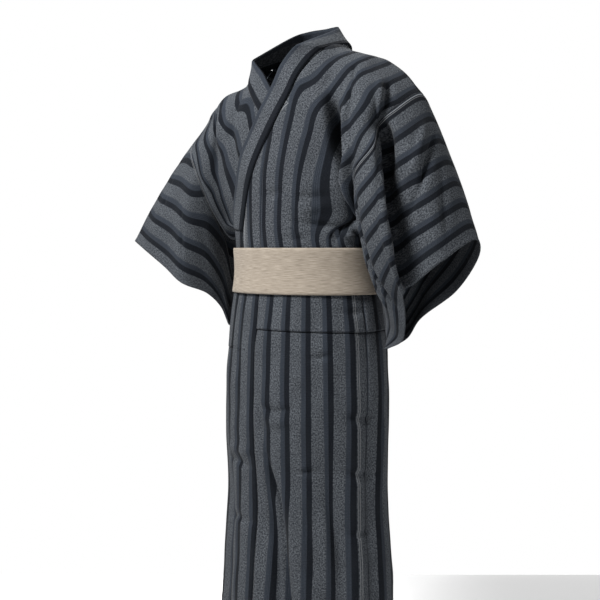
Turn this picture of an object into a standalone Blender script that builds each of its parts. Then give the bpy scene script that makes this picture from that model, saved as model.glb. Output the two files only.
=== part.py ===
"""A cotton yukata robe as it is worn: panels, overlaps, collar, sleeves and a stiff belt, hollow and open.

Metres, +Z up. The wearer would face -Y, with the left arm towards +X. The origin is between the shoulders, at
the height where the cloth rests on them. Every panel is cut flat and then laid on a form that is worked out
from the sections, rails and folds in the tables below. A place on a panel is its share, the distance across
from the centre of the back or front, and its distance down from the top of the shoulder.
"""

import math

import bmesh
import bpy
import numpy as np
from mathutils import Vector

# Driving sizes.
CLOTH = 0.0014
COLLAR_THICKNESS = 0.0020
COVER_THICKNESS = 0.0012
BELT_THICKNESS = 0.0030
SEAM_GAP = 0.0010
ARMHOLE_GAP = 0.0007
ARMHOLE_RELIEF = 0.007
ARMHOLE_RELIEF_FROM = (0.050, 0.150)
ARMHOLE_RELIEF_TO = (0.460, 0.400)
SIDE_RELIEF = 0.002
SIDE_RELIEF_FROM = (0.380, 0.420)
SIDE_RELIEF_TO = (0.580, 0.520)
LAID_GAP = 0.0027
BESIDE_OUT = 0.0003
COVER_GAP = 0.0014
SHOULDER_HEIGHT = 0.020
SHOULDER_SLOPE = 0.33
NECK_HALF_WIDTH = 0.070
NECK_RAISE = 0.070
NECK_RAISE_REACH = 0.120
NECKLINE_HALF_WIDTH = 0.088
NECKLINE_DEPTH_BEHIND = 0.130
NECKLINE_POWER = 2.4
RIGHT_SHOULDER_DROP = 0.050
RIGHT_SHOULDER_REACH = 0.150
RIGHT_SHOULDER_FORWARD = 0.030
FORWARD_REACH = (0.090, 0.210)
SHOULDER_ROUNDING = 0.130
OVER_SHOULDER = 0.190
CHEST_POWER = 2.0
SHOULDER_POWER = 2.3
SQUARED_BY = 0.200
WAIST_Z = -0.420
WAIST_DOWN = 0.480
SETTLE_FROM = 0.390
SETTLED_BY = 0.465
HEM_Z = -1.220
SLEEVE_WIDTH = 0.340
SLEEVE_DEPTH = 0.490
ARMHOLE_SHARE = 0.320
ARMHOLE_FREE_FROM = 0.330
SIDE_SHARE = 0.300
SIDE_ANGLE = 17.0
OVERLAP_SEAM_SHARE = 0.065
OVERLAP_EDGE_SHARE = -0.083
UNDER_COLLAR = 0.006
COLLAR_GAP = 0.0012
NECK_TUCK = 0.002
NECK_TUCK_REACH = (0.030, 0.090)
NECK_PART = 0.16
NECK_LEAN = 0.4
RIGHT_NECK_DROP = 0.006
OVER_OUT = 0.0080
LAYER_FULL_BY = 0.120
LAYER_ENDS = (0.200, 0.300)
LAYER_RETURNS = (0.360, 0.460)
BELT_OUT = 0.0132
BELT_HEIGHT = 0.098
BELT_GAP = 0.0006
COLLAR_END_Z = -0.640
COLLAR_END_GAP = 0.002
COLLAR_END_STEP = 0.012
OVERLAP_MIN_WIDTH = 0.006
SLEEVE_SEAM_GAP = 0.0004
HIP_Z = -0.560

# How finely the cloth is divided.
UPPER_ROWS = 20
LOWER_ROWS = 10
SLEEVE_ROUND = 40
ROW_STEP = 2 * SLEEVE_DEPTH / SLEEVE_ROUND
PANEL_COLUMNS = 8
OVERLAP_COLUMNS = 5
OVERLAP_FIRST_ROW = 13
SLEEVE_ALONG = 8
NECKLINE_ROWS = 12
COLLAR_ALONG = 26
COVER_ALONG = 17
BELT_ROUND = 40

# Level sections of the worn body, from the shoulders to the hem.
SECTIONS = (
    # z, half width, half depth in front, half depth behind
    (0.020, 0.285, 0.112, 0.100),
    (-0.060, 0.262, 0.122, 0.108),
    (-0.150, 0.222, 0.130, 0.116),
    (-0.250, 0.188, 0.130, 0.118),
    (-0.350, 0.172, 0.122, 0.116),
    (-0.420, 0.165, 0.117, 0.113),
    (-0.480, 0.162, 0.116, 0.114),
    (-0.560, 0.174, 0.126, 0.122),
    (-0.660, 0.184, 0.134, 0.131),
    (-0.800, 0.188, 0.136, 0.125),
    (-0.950, 0.185, 0.130, 0.120),
    (-1.100, 0.193, 0.136, 0.130),
    (-1.220, 0.199, 0.142, 0.138),
)

# Large folds of the skirt: each is a soft trough along a slanted line.
SKIRT_FOLDS = (
    # top angle, top z, foot angle, foot z, half width in degrees, depth
    (94.0, -0.840, 76.0, -1.300, 11.0, 0.024),
    (48.0, -0.700, 40.0, -1.300, 9.0, 0.010),
    (18.0, -0.640, 14.0, -1.300, 8.0, 0.012),
    (140.0, -0.800, 132.0, -1.300, 10.0, 0.010),
    (205.0, -0.620, 212.0, -1.300, 10.0, 0.013),
    (268.0, -0.700, 262.0, -1.300, 13.0, 0.012),
    (318.0, -0.620, 310.0, -1.300, 10.0, 0.013),
)

FOLD_QUICKNESS = 2.2

# Rails of each sleeve: lines along the arm, each at its distance round the sleeve from the top fold.
LEFT_RAILS = (
    # name, distance round, place at the armhole, half way, at the cuff
    ("top", 0.00, (0.285, 0.000, -0.102), (0.350, 0.000, -0.257), (0.405, 0.000, -0.404)),
    ("arm front", 0.08, (0.264, -0.078, -0.144), (0.334, -0.082, -0.292), (0.370, -0.068, -0.446)),
    ("groove", 0.145, (0.232, -0.082, -0.170), (0.254, -0.064, -0.330), (0.314, -0.062, -0.486)),
    ("ridge", 0.205, (0.246, -0.124, -0.216), (0.270, -0.126, -0.374), (0.294, -0.084, -0.508)),
    ("ribbon", 0.265, (0.202, -0.120, -0.264), (0.222, -0.110, -0.426), (0.284, -0.062, -0.540)),
    ("lower front", 0.33, (0.198, -0.094, -0.320), (0.220, -0.086, -0.468), (0.278, -0.050, -0.582)),
    ("pouch front", 0.41, (0.203, -0.040, -0.400), (0.220, -0.046, -0.530), (0.262, -0.038, -0.612)),
    ("bottom", 0.49, (0.206, -0.006, -0.488), (0.216, -0.012, -0.588), (0.214, -0.024, -0.630)),
    ("pouch back", 0.57, (0.206, 0.020, -0.405), (0.232, 0.030, -0.530), (0.258, -0.012, -0.606)),
    ("lower back", 0.65, (0.212, 0.070, -0.320), (0.256, 0.080, -0.450), (0.278, 0.010, -0.566)),
    ("back", 0.76, (0.240, 0.098, -0.230), (0.296, 0.098, -0.365), (0.330, 0.066, -0.512)),
    ("arm back", 0.88, (0.272, 0.066, -0.145), (0.340, 0.066, -0.290), (0.392, 0.046, -0.438)),
)
RIGHT_RAILS = (
    ("top", 0.00, (-0.268, -0.026, -0.146), (-0.362, -0.058, -0.268), (-0.448, -0.080, -0.404)),
    ("arm front", 0.09, (-0.252, -0.080, -0.168), (-0.330, -0.108, -0.300), (-0.392, -0.106, -0.424)),
    ("valley", 0.165, (-0.232, -0.122, -0.202), (-0.284, -0.122, -0.334), (-0.322, -0.112, -0.464)),
    ("ridge", 0.24, (-0.208, -0.132, -0.250), (-0.246, -0.128, -0.378), (-0.264, -0.118, -0.500)),
    ("lower front", 0.33, (-0.200, -0.100, -0.322), (-0.222, -0.088, -0.436), (-0.232, -0.070, -0.524)),
    ("pouch front", 0.41, (-0.203, -0.040, -0.400), (-0.214, -0.042, -0.500), (-0.219, -0.030, -0.562)),
    ("bottom", 0.49, (-0.206, -0.006, -0.485), (-0.214, -0.008, -0.566), (-0.213, -0.004, -0.610)),
    ("pouch back", 0.57, (-0.206, 0.020, -0.405), (-0.228, 0.030, -0.508), (-0.224, 0.010, -0.577)),
    ("lower back", 0.65, (-0.212, 0.066, -0.325), (-0.254, 0.066, -0.436), (-0.252, 0.022, -0.537)),
    ("back", 0.76, (-0.236, 0.086, -0.240), (-0.304, 0.066, -0.364), (-0.332, 0.012, -0.484)),
    ("arm back", 0.88, (-0.262, 0.040, -0.165), (-0.350, 0.016, -0.300), (-0.424, -0.034, -0.440)),
)

# The fold that falls from each shoulder to the side of the waist: in front a deep one, behind a flatter one.
SHOULDER_FOLDS = {
    # distance down, valley, ridge
    "front_left": (
        (0.00, (0.210, 0.000, -0.028), (0.250, 0.000, -0.058)),
        (0.08, (0.196, -0.080, -0.068), (0.236, -0.084, -0.098)),
        (0.14, (0.184, -0.106, -0.122), (0.226, -0.106, -0.140)),
        (0.20, (0.172, -0.104, -0.182), (0.204, -0.120, -0.202)),
        (0.26, (0.164, -0.098, -0.240), (0.188, -0.114, -0.256)),
        (0.32, (0.161, -0.090, -0.296), (0.182, -0.100, -0.310)),
        (0.39, (0.157, -0.069, -0.352), (0.176, -0.070, -0.362)),
        (0.48, (0.143, -0.058, -0.420), (0.156, -0.040, -0.420)),
    ),
    "front_right": (
        (0.00, (0.210, 0.000, -0.028), (0.250, 0.000, -0.058)),
        (0.08, (0.184, -0.066, -0.068), (0.216, -0.044, -0.080)),
        (0.14, (0.174, -0.092, -0.122), (0.206, -0.088, -0.130)),
        (0.20, (0.168, -0.098, -0.182), (0.198, -0.112, -0.190)),
        (0.26, (0.164, -0.096, -0.240), (0.188, -0.114, -0.252)),
        (0.32, (0.161, -0.088, -0.296), (0.182, -0.100, -0.308)),
        (0.39, (0.157, -0.069, -0.352), (0.176, -0.070, -0.362)),
        (0.48, (0.143, -0.058, -0.420), (0.156, -0.040, -0.420)),
    ),
    "back": (
        (0.00, (0.210, 0.000, -0.028), (0.250, 0.000, -0.058)),
        (0.10, (0.196, 0.076, -0.084), (0.236, 0.070, -0.112)),
        (0.20, (0.180, 0.096, -0.170), (0.212, 0.102, -0.190)),
        (0.30, (0.164, 0.084, -0.262), (0.190, 0.094, -0.282)),
        (0.39, (0.158, 0.056, -0.345), (0.178, 0.052, -0.360)),
        (0.48, (0.152, 0.040, -0.420), (0.160, 0.004, -0.420)),
    ),
}
CHEST_SHARE = 0.185
VALLEY_SHARE = 0.222
RIDGE_SHARE = 0.265
BLEND_STEP = 0.035

# The collar round the neck, from the nape to the front of the left shoulder; the right side mirrors it.
COLLAR_AT_NECK = (
    # free edge, share of the back neckline that the other edge is sewn to
    ((0.000, 0.070, 0.078), 0.000),
    ((0.038, 0.058, 0.076), 0.052),
    ((0.056, 0.016, 0.058), 0.086),
)
# The collar down the chest, seen from in front, for the left side.
COLLAR_DOWN_CHEST = (
    # free edge x, z, sewn edge x, z, how far the free edge stands off
    (0.050, -0.010, 0.088, -0.006, 0.016),
    (0.030, -0.036, 0.068, -0.055, 0.008),
    (0.002, -0.084, 0.043, -0.106, 0.002),
    (-0.036, -0.146, 0.006, -0.168, 0.000),
    (-0.084, -0.230, -0.040, -0.248, 0.000),
    (-0.116, -0.320, -0.074, -0.332, 0.000),
)
# Below the chest it keeps an angle round the body.
COLLAR_AT_WAIST = (
    # z, free edge angle, sewn edge angle
    (-0.420, 146.0, 127.0),
    (-0.500, 147.0, 129.0),
    (-0.640, 149.0, 132.0),
)


# The flat knot at the back and the two ends that it holds, laid on the belt.
BELT_PIECES = (
    # name, how far out, left and right edges, bottom, top, lean, bulge
    ("belt_knot", BELT_THICKNESS + 0.0018, 0.046, -0.046, -0.528, -0.412, 0.0, 0.006),
    ("belt_end_up", 0.0004, 0.022, -0.056, -0.458, -0.330, -0.040, 0.0),
    ("belt_end_side", 0.0011, 0.128, -0.030, -0.516, -0.464, 0.010, 0.0),
)


def smooth(keys, rows, at):
    """Rows of a table read at any key, along a curve with no kinks."""
    keys = np.asarray(keys, float)
    rows = np.asarray(rows, float)
    at = min(max(at, keys[0]), keys[-1])
    i = min(int(np.searchsorted(keys, at, side="right")) - 1, len(keys) - 2)

    def slope(k):
        low = max(k - 1, 0)
        high = min(k + 1, len(keys) - 1)
        return (rows[high] - rows[low]) / (keys[high] - keys[low])

    span = keys[i + 1] - keys[i]
    t = (at - keys[i]) / span
    return (
        (2 * t**3 - 3 * t**2 + 1) * rows[i]
        + (t**3 - 2 * t**2 + t) * span * slope(i)
        + (3 * t**2 - 2 * t**3) * rows[i + 1]
        + (t**3 - t**2) * span * slope(i + 1)
    )


def ease(x):
    """A soft step from 0 to 1."""
    x = min(max(x, 0.0), 1.0)
    return x * x * (3 - 2 * x)


def rising(x, start, end):
    """A soft step that rises between two places."""
    return ease((x - start) / (end - start))


SECTION_KEYS = [-row[0] for row in SECTIONS]
SECTION_ROWS = [row[1:] for row in SECTIONS]


def section(z):
    """Half width, front depth and back depth of the body at a height."""
    return smooth(SECTION_KEYS, SECTION_ROWS, -z)


def fold_depth(angle, z):
    """How far the skirt's folds draw the cloth in."""
    depth = 0.0
    for top_angle, top_z, foot_angle, foot_z, half_width, deepest in SKIRT_FOLDS:
        share = (z - top_z) / (foot_z - top_z)
        if share <= 0:
            continue
        centre = top_angle + (foot_angle - top_angle) * share
        across = ((angle - centre + 180.0) % 360.0 - 180.0) / half_width
        depth += deepest * ease(share * FOLD_QUICKNESS) * math.exp(-across * across)
    return depth


def round_body(angle, z, out=0.0):
    """A point of the tube below the chest. Angle 0 is the left side, 90 the front, 270 the back."""
    half_width, front, back = section(z)
    turn = math.radians(angle)
    depth = front if math.sin(turn) > 0 else back
    draw_in = fold_depth(angle, z)
    return Vector((
        (half_width + out - draw_in) * math.cos(turn),
        -(depth + out - draw_in) * math.sin(turn),
        z,
    ))


def arc_table():
    """Distance round the hips from the left side seam, by angle."""
    angles = np.arange(SIDE_ANGLE - 10.0, 371.0 + SIDE_ANGLE, 1.0)
    points = np.array([round_body(a, HIP_Z) for a in angles])
    steps = np.linalg.norm(np.diff(points, axis=0), axis=1)
    lengths = np.concatenate([[0.0], np.cumsum(steps)])
    return angles, lengths - np.interp(SIDE_ANGLE, angles, lengths)


ARC_ANGLES, ARC_LENGTHS = arc_table()
ARC_TO_BACK = float(np.interp(270.0, ARC_ANGLES, ARC_LENGTHS))
ARC_BACK_WIDTH = float(np.interp(360.0 + SIDE_ANGLE, ARC_ANGLES, ARC_LENGTHS)) - ARC_TO_BACK


def front_angle(share):
    """The angle of a stripe of the left front. Its side seam is at SIDE_SHARE."""
    return float(np.interp(SIDE_SHARE - share, ARC_LENGTHS, ARC_ANGLES))


def front_share(angle):
    """The stripe of the left front at an angle."""
    return SIDE_SHARE - float(np.interp(angle, ARC_ANGLES, ARC_LENGTHS))


def back_angle(share):
    """The angle of a stripe of the left back. The centre seam is at share 0."""
    return float(np.interp(ARC_TO_BACK + share / SIDE_SHARE * ARC_BACK_WIDTH, ARC_LENGTHS, ARC_ANGLES))


def shoulder_line(x):
    """Height of the cloth over the shoulder, raised towards the neck."""
    beyond = max(abs(x) - NECK_HALF_WIDTH, 0.0)
    drop = RIGHT_SHOULDER_DROP * ease(-x / RIGHT_SHOULDER_REACH) if x < 0 else 0.0
    raised = NECK_RAISE * (1.0 - ease(abs(x) / NECK_RAISE_REACH))
    return SHOULDER_HEIGHT + raised - SHOULDER_SLOPE * beyond - drop


def chest_depth(x, z, behind):
    """How far the chest or the back stands from the shoulder line at a place."""
    half_width, front, back = section(z)
    power = CHEST_POWER + (SHOULDER_POWER - CHEST_POWER) * ease((z - WAIST_Z) / SQUARED_BY)
    across = max(1.0 - (abs(x) / half_width) ** power, 0.0) ** (1 / power)
    drop = min(max((shoulder_line(x) - z) / SHOULDER_ROUNDING, 0.0), 1.0)
    return (back if behind else front) * across * math.sqrt(1.0 - (1.0 - drop) ** 2)


def height_down(x, down):
    """Height of a point that lies a distance down the cloth from the shoulder line."""
    top = shoulder_line(x)
    if down < OVER_SHOULDER:
        return top - SHOULDER_ROUNDING * (1.0 - math.cos(down / OVER_SHOULDER * math.pi / 2))
    start = top - SHOULDER_ROUNDING
    return start + (WAIST_Z - start) * (down - OVER_SHOULDER) / (WAIST_DOWN - OVER_SHOULDER)


def down_at(x, z):
    """The distance down the cloth of a height, the reverse of height_down."""
    top = shoulder_line(x)
    if z > top - SHOULDER_ROUNDING:
        return math.acos(1.0 - (top - z) / SHOULDER_ROUNDING) * OVER_SHOULDER * 2 / math.pi
    start = top - SHOULDER_ROUNDING
    return OVER_SHOULDER + (z - start) / (WAIST_Z - start) * (WAIST_DOWN - OVER_SHOULDER)


def chest_x(share, down, behind):
    """Sideways place of a stripe above the waist, for the left side."""
    angle = back_angle(share) if behind else front_angle(share)
    at_waist = round_body(angle, WAIST_Z).x
    return share + (at_waist - share) * ease(down / WAIST_DOWN)


def chest_place(x, z):
    """The share and the distance down of a point of the left chest."""
    down = down_at(x, z)
    shares = np.linspace(-SIDE_SHARE / 2, SIDE_SHARE, 60)
    across = [chest_x(share, down, False) for share in shares]
    return float(np.interp(x, across, shares)), down


def sleeve_point(rails, along, round_it):
    """A point of a sleeve. Along runs from armhole 0 to cuff 1, and round_it starts at the top fold."""
    loop = 2 * SLEEVE_DEPTH
    keys = []
    rows = []
    for turn in (-1, 0, 1):
        for _, distance, seam, middle, cuff in rails:
            keys.append(distance + turn * loop)
            start, half, end = Vector(seam), Vector(middle), Vector(cuff)
            bend = 4 * half - 3 * start - end
            rows.append(start + bend * along + (end - start - bend) * along * along)
    return Vector(smooth(keys, rows, round_it % loop))


def free_of_armhole(down):
    """How far the edge of the body has left the armhole for the side seam."""
    return rising(down, ARMHOLE_FREE_FROM, WAIST_DOWN)


def outer_share(down):
    """The share of the body's outer edge: the armhole, and then the side seam."""
    return ARMHOLE_SHARE + (SIDE_SHARE - ARMHOLE_SHARE) * free_of_armhole(down)


def upper_point(side, share, down, behind):
    """A point of a body panel above the waist. Side is 1 for the left and -1 for the right."""
    down = max(down, 0.0)
    rails = LEFT_RAILS if side > 0 else RIGHT_RAILS
    settle = 1.0 - ease(down / WAIST_DOWN)

    def on_chest(stripe):
        x = side * chest_x(stripe, down, behind)
        z = height_down(x, down)
        depth = chest_depth(x, z, behind)
        forward = 0.0
        if side < 0:
            forward = RIGHT_SHOULDER_FORWARD * settle * rising(stripe, *FORWARD_REACH)
        return Vector((x, (depth if behind else -depth) - forward, z))

    if share <= CHEST_SHARE - BLEND_STEP:
        return on_chest(share)
    folds = SHOULDER_FOLDS["back" if behind else "front_left" if side > 0 else "front_right"]
    keys = [row[0] for row in folds]
    points = []
    for column in (1, 2):
        point = Vector(smooth(keys, [row[column] for row in folds], down))
        if side < 0:
            forward = RIGHT_SHOULDER_FORWARD * settle
            point = Vector((-point.x, point.y - forward, point.z - RIGHT_SHOULDER_DROP * settle))
        points.append(point)
    loop = 2 * SLEEVE_DEPTH
    at_armhole = sleeve_point(rails, 0.0, loop - down if behind else down)
    side_seam = round_body(SIDE_ANGLE, WAIST_Z)
    side_seam.x *= side
    edge = at_armhole.lerp(side_seam, free_of_armhole(down))
    columns = (
        (CHEST_SHARE - 2 * BLEND_STEP, on_chest(CHEST_SHARE - 2 * BLEND_STEP)),
        (CHEST_SHARE - BLEND_STEP, on_chest(CHEST_SHARE - BLEND_STEP)),
        (CHEST_SHARE, on_chest(CHEST_SHARE)),
        (VALLEY_SHARE, points[0]),
        (RIDGE_SHARE, points[1]),
        (outer_share(down), edge),
    )
    fold = Vector(smooth([c[0] for c in columns], [c[1] for c in columns], share))
    at_waist = round_body(back_angle(share) if behind else front_angle(share), WAIST_Z)
    at_waist.x *= side
    return fold.lerp(at_waist, rising(down, SETTLE_FROM, SETTLED_BY))


def panel_point(side, share, down, behind):
    """A point of a body panel, from the shoulder to the hem, with no layer added."""
    if down < WAIST_DOWN:
        return upper_point(side, share, down, behind)
    angle = back_angle(share) if behind else front_angle(share)
    if side < 0:
        angle = (180.0 - angle) % 360.0
    return round_body(angle, WAIST_Z - (down - WAIST_DOWN))


def panel_normal(side, share, down, behind, step=0.004):
    """The way out of the cloth at a place on a panel."""
    up = max(down - step, 0.0)
    across = panel_point(side, share + step, down, behind) - panel_point(side, share - step, down, behind)
    along = panel_point(side, share, down + step, behind) - panel_point(side, share, up, behind)
    normal = across.cross(along).normalized()
    return normal if (side > 0) == behind else -normal


def layer_out(side, share, down, behind):
    """How far a panel lies out, so that the left front lies over the right one."""
    if side < 0:
        return 0.0
    from_shoulder = rising(down, 0.0, LAYER_FULL_BY)
    near_armhole = rising(share, *LAYER_ENDS)
    kept = 1.0 - near_armhole * (1.0 - rising(down, *LAYER_RETURNS))
    from_centre = ease(share / SIDE_SHARE) if behind else 1.0
    return OVER_OUT * from_shoulder * kept * from_centre


def laid(side, share, down, behind=False, more=0.0):
    """A point on a panel in its layer, moved out by more."""
    out = layer_out(side, share, down, behind) + more
    point = panel_point(side, share, down, behind)
    if not out:
        return point
    return point + panel_normal(side, share, down, behind) * out


def neckline(share):
    """How far down the back the neckline is cut."""
    within = min(share / NECKLINE_HALF_WIDTH, 1.0)
    return NECKLINE_DEPTH_BEHIND * math.sqrt(max(1.0 - within**NECKLINE_POWER, 0.0))


def collar_rows():
    """The collar down one front, as keys with the free and sewn edges in shares and distances down."""
    keys = []
    rows = []
    for free_x, free_z, sewn_x, sewn_z, stands in COLLAR_DOWN_CHEST:
        free = chest_place(free_x, free_z)
        sewn = chest_place(sewn_x, sewn_z)
        keys.append(-sewn_z)
        rows.append((*free, *sewn, stands))
    for z, free_angle, sewn_angle in COLLAR_AT_WAIST:
        down = WAIST_DOWN + WAIST_Z - z
        keys.append(-z)
        rows.append((front_share(free_angle), down, front_share(sewn_angle), down, 0.0))
    return keys, rows


COLLAR_KEYS, COLLAR_ROWS = collar_rows()
COLLAR_STATIONS = np.linspace(COLLAR_KEYS[0], COLLAR_KEYS[-1], 90)
COLLAR_PATH = [smooth(COLLAR_KEYS, COLLAR_ROWS, key) for key in COLLAR_STATIONS]


def sewn_share(down):
    """The share of the collar's sewn edge at a distance down the front."""
    return float(np.interp(down, [row[3] for row in COLLAR_PATH], [row[2] for row in COLLAR_PATH]))


def collar_down_front(side, key, across, more):
    """A point of the collar on a front. Across runs from the free edge 0 to the sewn edge 1."""
    free_share, free_down, sewn, sewn_down, stands = smooth(COLLAR_KEYS, COLLAR_ROWS, key)
    share = free_share + (sewn - free_share) * across
    down = free_down + (sewn_down - free_down) * across
    return laid(side, share, down, more=BESIDE_OUT + more + stands * (1.0 - across))


def collar_point(side, along, across, more=0.0):
    """A point of the collar, from the nape, along 0, to its end on one front, along 1."""
    first, last = COLLAR_KEYS[0], COLLAR_KEYS[-1]
    if along >= NECK_PART:
        share = (along - NECK_PART) / (1.0 - NECK_PART)
        return collar_down_front(side, first + (last - first) * share, across, more)
    keys = [0.0, NECK_PART * 0.36, NECK_PART * 0.72, NECK_PART]
    drop = Vector((0.0, 0.0, -RIGHT_NECK_DROP if side < 0 else 0.0))
    rows = []
    for i, (free, share) in enumerate(COLLAR_AT_NECK):
        sewn = laid(side, share, neckline(share) + UNDER_COLLAR, True, CLOTH + LAID_GAP + more)
        free = Vector((side * free[0], free[1], free[2]))
        away = Vector((free.x, free.y, 0.0)).normalized() + Vector((0.0, 0.0, NECK_LEAN))
        free = free + away.normalized() * more + drop * (i / 3)
        rows.append(free.lerp(sewn, across))
    rows.append(collar_down_front(side, first, across, more))
    return Vector(smooth(keys, rows, along))


def material(name, colour, roughness):
    shader = bpy.data.materials.new(name)
    shader.use_nodes = True
    principled = shader.node_tree.nodes["Principled BSDF"]
    principled.inputs["Base Color"].default_value = (*colour, 1.0)
    principled.inputs["Roughness"].default_value = roughness
    principled.inputs["Metallic"].default_value = 0.0
    return shader


def cloth_object(collection, shader, name, columns, rows, place, closed=False, turned=False, thickness=CLOTH):
    """A grid of cloth, cut as a unit square, laid on its form by place(across, down) and given a wall."""
    cut = bmesh.new()
    bmesh.ops.create_grid(cut, x_segments=columns, y_segments=rows, size=0.5)
    for corner in cut.verts:
        corner.co = place(corner.co.x + 0.5, 0.5 - corner.co.y)
    if closed:
        bmesh.ops.remove_doubles(cut, verts=cut.verts, dist=0.00002)
    if turned:
        bmesh.ops.reverse_faces(cut, faces=cut.faces)
    mesh = bpy.data.meshes.new(name)
    cut.to_mesh(mesh)
    cut.free()
    mesh.materials.append(shader)
    mesh.shade_smooth()
    piece = bpy.data.objects.new(name, mesh)
    collection.objects.link(piece)
    wall = piece.modifiers.new("wall", "SOLIDIFY")
    wall.thickness = thickness
    wall.offset = 1.0
    return piece


def row_down(row):
    """Distance down of a row of the body panels. The rows above the waist match those of the sleeves."""
    collar_end = WAIST_DOWN + WAIST_Z - COLLAR_END_Z
    length = WAIST_DOWN + WAIST_Z - HEM_Z
    rows = (0, UPPER_ROWS, UPPER_ROWS + 3, UPPER_ROWS + 4, UPPER_ROWS + LOWER_ROWS)
    past_end = collar_end + COLLAR_END_GAP
    downs = (0.0, UPPER_ROWS * ROW_STEP, past_end, past_end + COLLAR_END_STEP, length)
    return float(np.interp(row, rows, downs))


def armhole_gap(down):
    """The gap at the armhole, wider where the fold turns the two pieces towards each other."""
    at_fold = rising(down, *ARMHOLE_RELIEF_FROM) * rising(down, *ARMHOLE_RELIEF_TO)
    at_side = rising(down, *SIDE_RELIEF_FROM) * rising(down, *SIDE_RELIEF_TO)
    return ARMHOLE_GAP + ARMHOLE_RELIEF * at_fold + SIDE_RELIEF * at_side


def add_front(collection, shader, side, word):
    rows = UPPER_ROWS + LOWER_ROWS

    def place(across, down):
        distance = max(row_down(down * rows), SEAM_GAP)
        at_neck = 1.0 - rising(distance, *NECK_TUCK_REACH)
        beside_collar = sewn_share(distance) + COLLAR_GAP - NECK_TUCK * at_neck
        inner = max(OVERLAP_SEAM_SHARE + SEAM_GAP / 2, beside_collar)
        outer = outer_share(distance) - armhole_gap(distance)
        return laid(side, inner + (outer - inner) * across, distance)

    cloth_object(collection, shader, f"front_{word}", PANEL_COLUMNS, rows, place, turned=side < 0)


def add_back(collection, shader, side, word):
    rows = UPPER_ROWS + LOWER_ROWS

    def place(across, down):
        row = down * rows
        inner = SEAM_GAP / 2
        outer = outer_share(row_down(row)) - armhole_gap(row_down(row))
        share = inner + (outer - inner) * across
        below_neckline = neckline(share) * max(1.0 - row / NECKLINE_ROWS, 0.0)
        distance = max(row_down(row), SEAM_GAP) + below_neckline
        return laid(side, share, distance, behind=True)

    cloth_object(collection, shader, f"back_{word}", PANEL_COLUMNS, rows, place, turned=side > 0)


def add_overlap(collection, shader, side, word):
    rows = UPPER_ROWS + LOWER_ROWS - OVERLAP_FIRST_ROW

    def place(across, down):
        distance = row_down(OVERLAP_FIRST_ROW + down * rows)
        seam = OVERLAP_SEAM_SHARE - SEAM_GAP / 2
        beside_collar = min(sewn_share(distance) + COLLAR_GAP, seam - OVERLAP_MIN_WIDTH)
        past_end = WAIST_DOWN + WAIST_Z - COLLAR_END_Z + COLLAR_END_GAP
        past_collar = rising(distance, past_end, past_end + COLLAR_END_STEP)
        edge = beside_collar + (OVERLAP_EDGE_SHARE - beside_collar) * past_collar
        return laid(side, edge + (seam - edge) * across, distance)

    cloth_object(collection, shader, f"overlap_{word}", OVERLAP_COLUMNS, rows, place, turned=side < 0)


def add_sleeve(collection, shader, side, word):
    rails = LEFT_RAILS if side > 0 else RIGHT_RAILS
    start = SLEEVE_SEAM_GAP / SLEEVE_WIDTH

    def place(across, down):
        along = start + (1.0 - start) * down
        return sleeve_point(rails, along, across * 2 * SLEEVE_DEPTH)

    cloth_object(
        collection, shader, f"sleeve_{word}", SLEEVE_ROUND, SLEEVE_ALONG, place, closed=True, turned=side > 0
    )


def add_collar(collection, shader):
    def place(across, down):
        side = 1 if down < 0.5 else -1
        return collar_point(side, abs(1.0 - 2.0 * down), 1.0 - across)

    cloth_object(
        collection, shader, "collar", 3, 2 * COLLAR_ALONG, place, thickness=COLLAR_THICKNESS
    )

    def place_cover(across, down):
        side = 1 if down < 0.5 else -1
        along = abs(1.0 - 2.0 * down) * COVER_ALONG / COLLAR_ALONG
        return collar_point(side, along, 1.0 - across, COLLAR_THICKNESS + COVER_GAP)

    cloth_object(
        collection, shader, "collar_cover", 3, 2 * COVER_ALONG, place_cover, thickness=COVER_THICKNESS
    )


def add_belt(collection, shader):
    def place(across, down):
        z = WAIST_Z - BELT_HEIGHT * down
        return round_body(360.0 * across, z, BELT_OUT)

    cloth_object(
        collection,
        shader,
        "belt_band",
        BELT_ROUND,
        3,
        place,
        closed=True,
        turned=True,
        thickness=BELT_THICKNESS,
    )
    on_belt = BELT_OUT + BELT_THICKNESS + BELT_GAP
    for name, out, left, right, bottom, top, lean, bulge in BELT_PIECES:

        def place_piece(across, down, piece=(out, left, right, bottom, top, lean, bulge)):
            out, left, right, bottom, top, lean, bulge = piece
            x = right + (left - right) * across + lean * (0.5 - down)
            z = top + (bottom - top) * down
            half_width, _, back = section(min(z, WAIST_Z))
            stands = on_belt + out + bulge * math.sin(math.pi * down) * math.sin(math.pi * across)
            y = (back + stands) * math.sqrt(1.0 - (x / (half_width + stands)) ** 2)
            return Vector((x, y, z))

        cloth_object(collection, shader, name, 6, 4, place_piece, turned=True, thickness=BELT_THICKNESS)


def build():
    for old in list(bpy.data.objects):
        bpy.data.objects.remove(old)
    collection = bpy.data.collections.new("yukata")
    bpy.context.scene.collection.children.link(collection)
    striped = material("striped_cotton", (0.10, 0.11, 0.13), 0.9)
    belt = material("belt_weave", (0.62, 0.54, 0.44), 0.85)
    for side, word in ((1, "left"), (-1, "right")):
        add_front(collection, striped, side, word)
        add_back(collection, striped, side, word)
        add_overlap(collection, striped, side, word)
        add_sleeve(collection, striped, side, word)
    add_collar(collection, striped)
    add_belt(collection, belt)
    return collection


if __name__ == "__main__":
    build()
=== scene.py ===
# %% [markdown]
# # A cotton yukata robe with its stiff belt
# The robe is sewn from straight lengths of one narrow striped cloth: two backs, two fronts, two overlaps,
# two sleeves and a collar. It is shown as worn, hollow and open, with a flat linen belt round the waist.
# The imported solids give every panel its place. This script lays a fine sheet of cloth on the same form for
# each of them, adds the creases, seams and hems, and gives the cloth its stripes and its crepe surface.

import math

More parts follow.
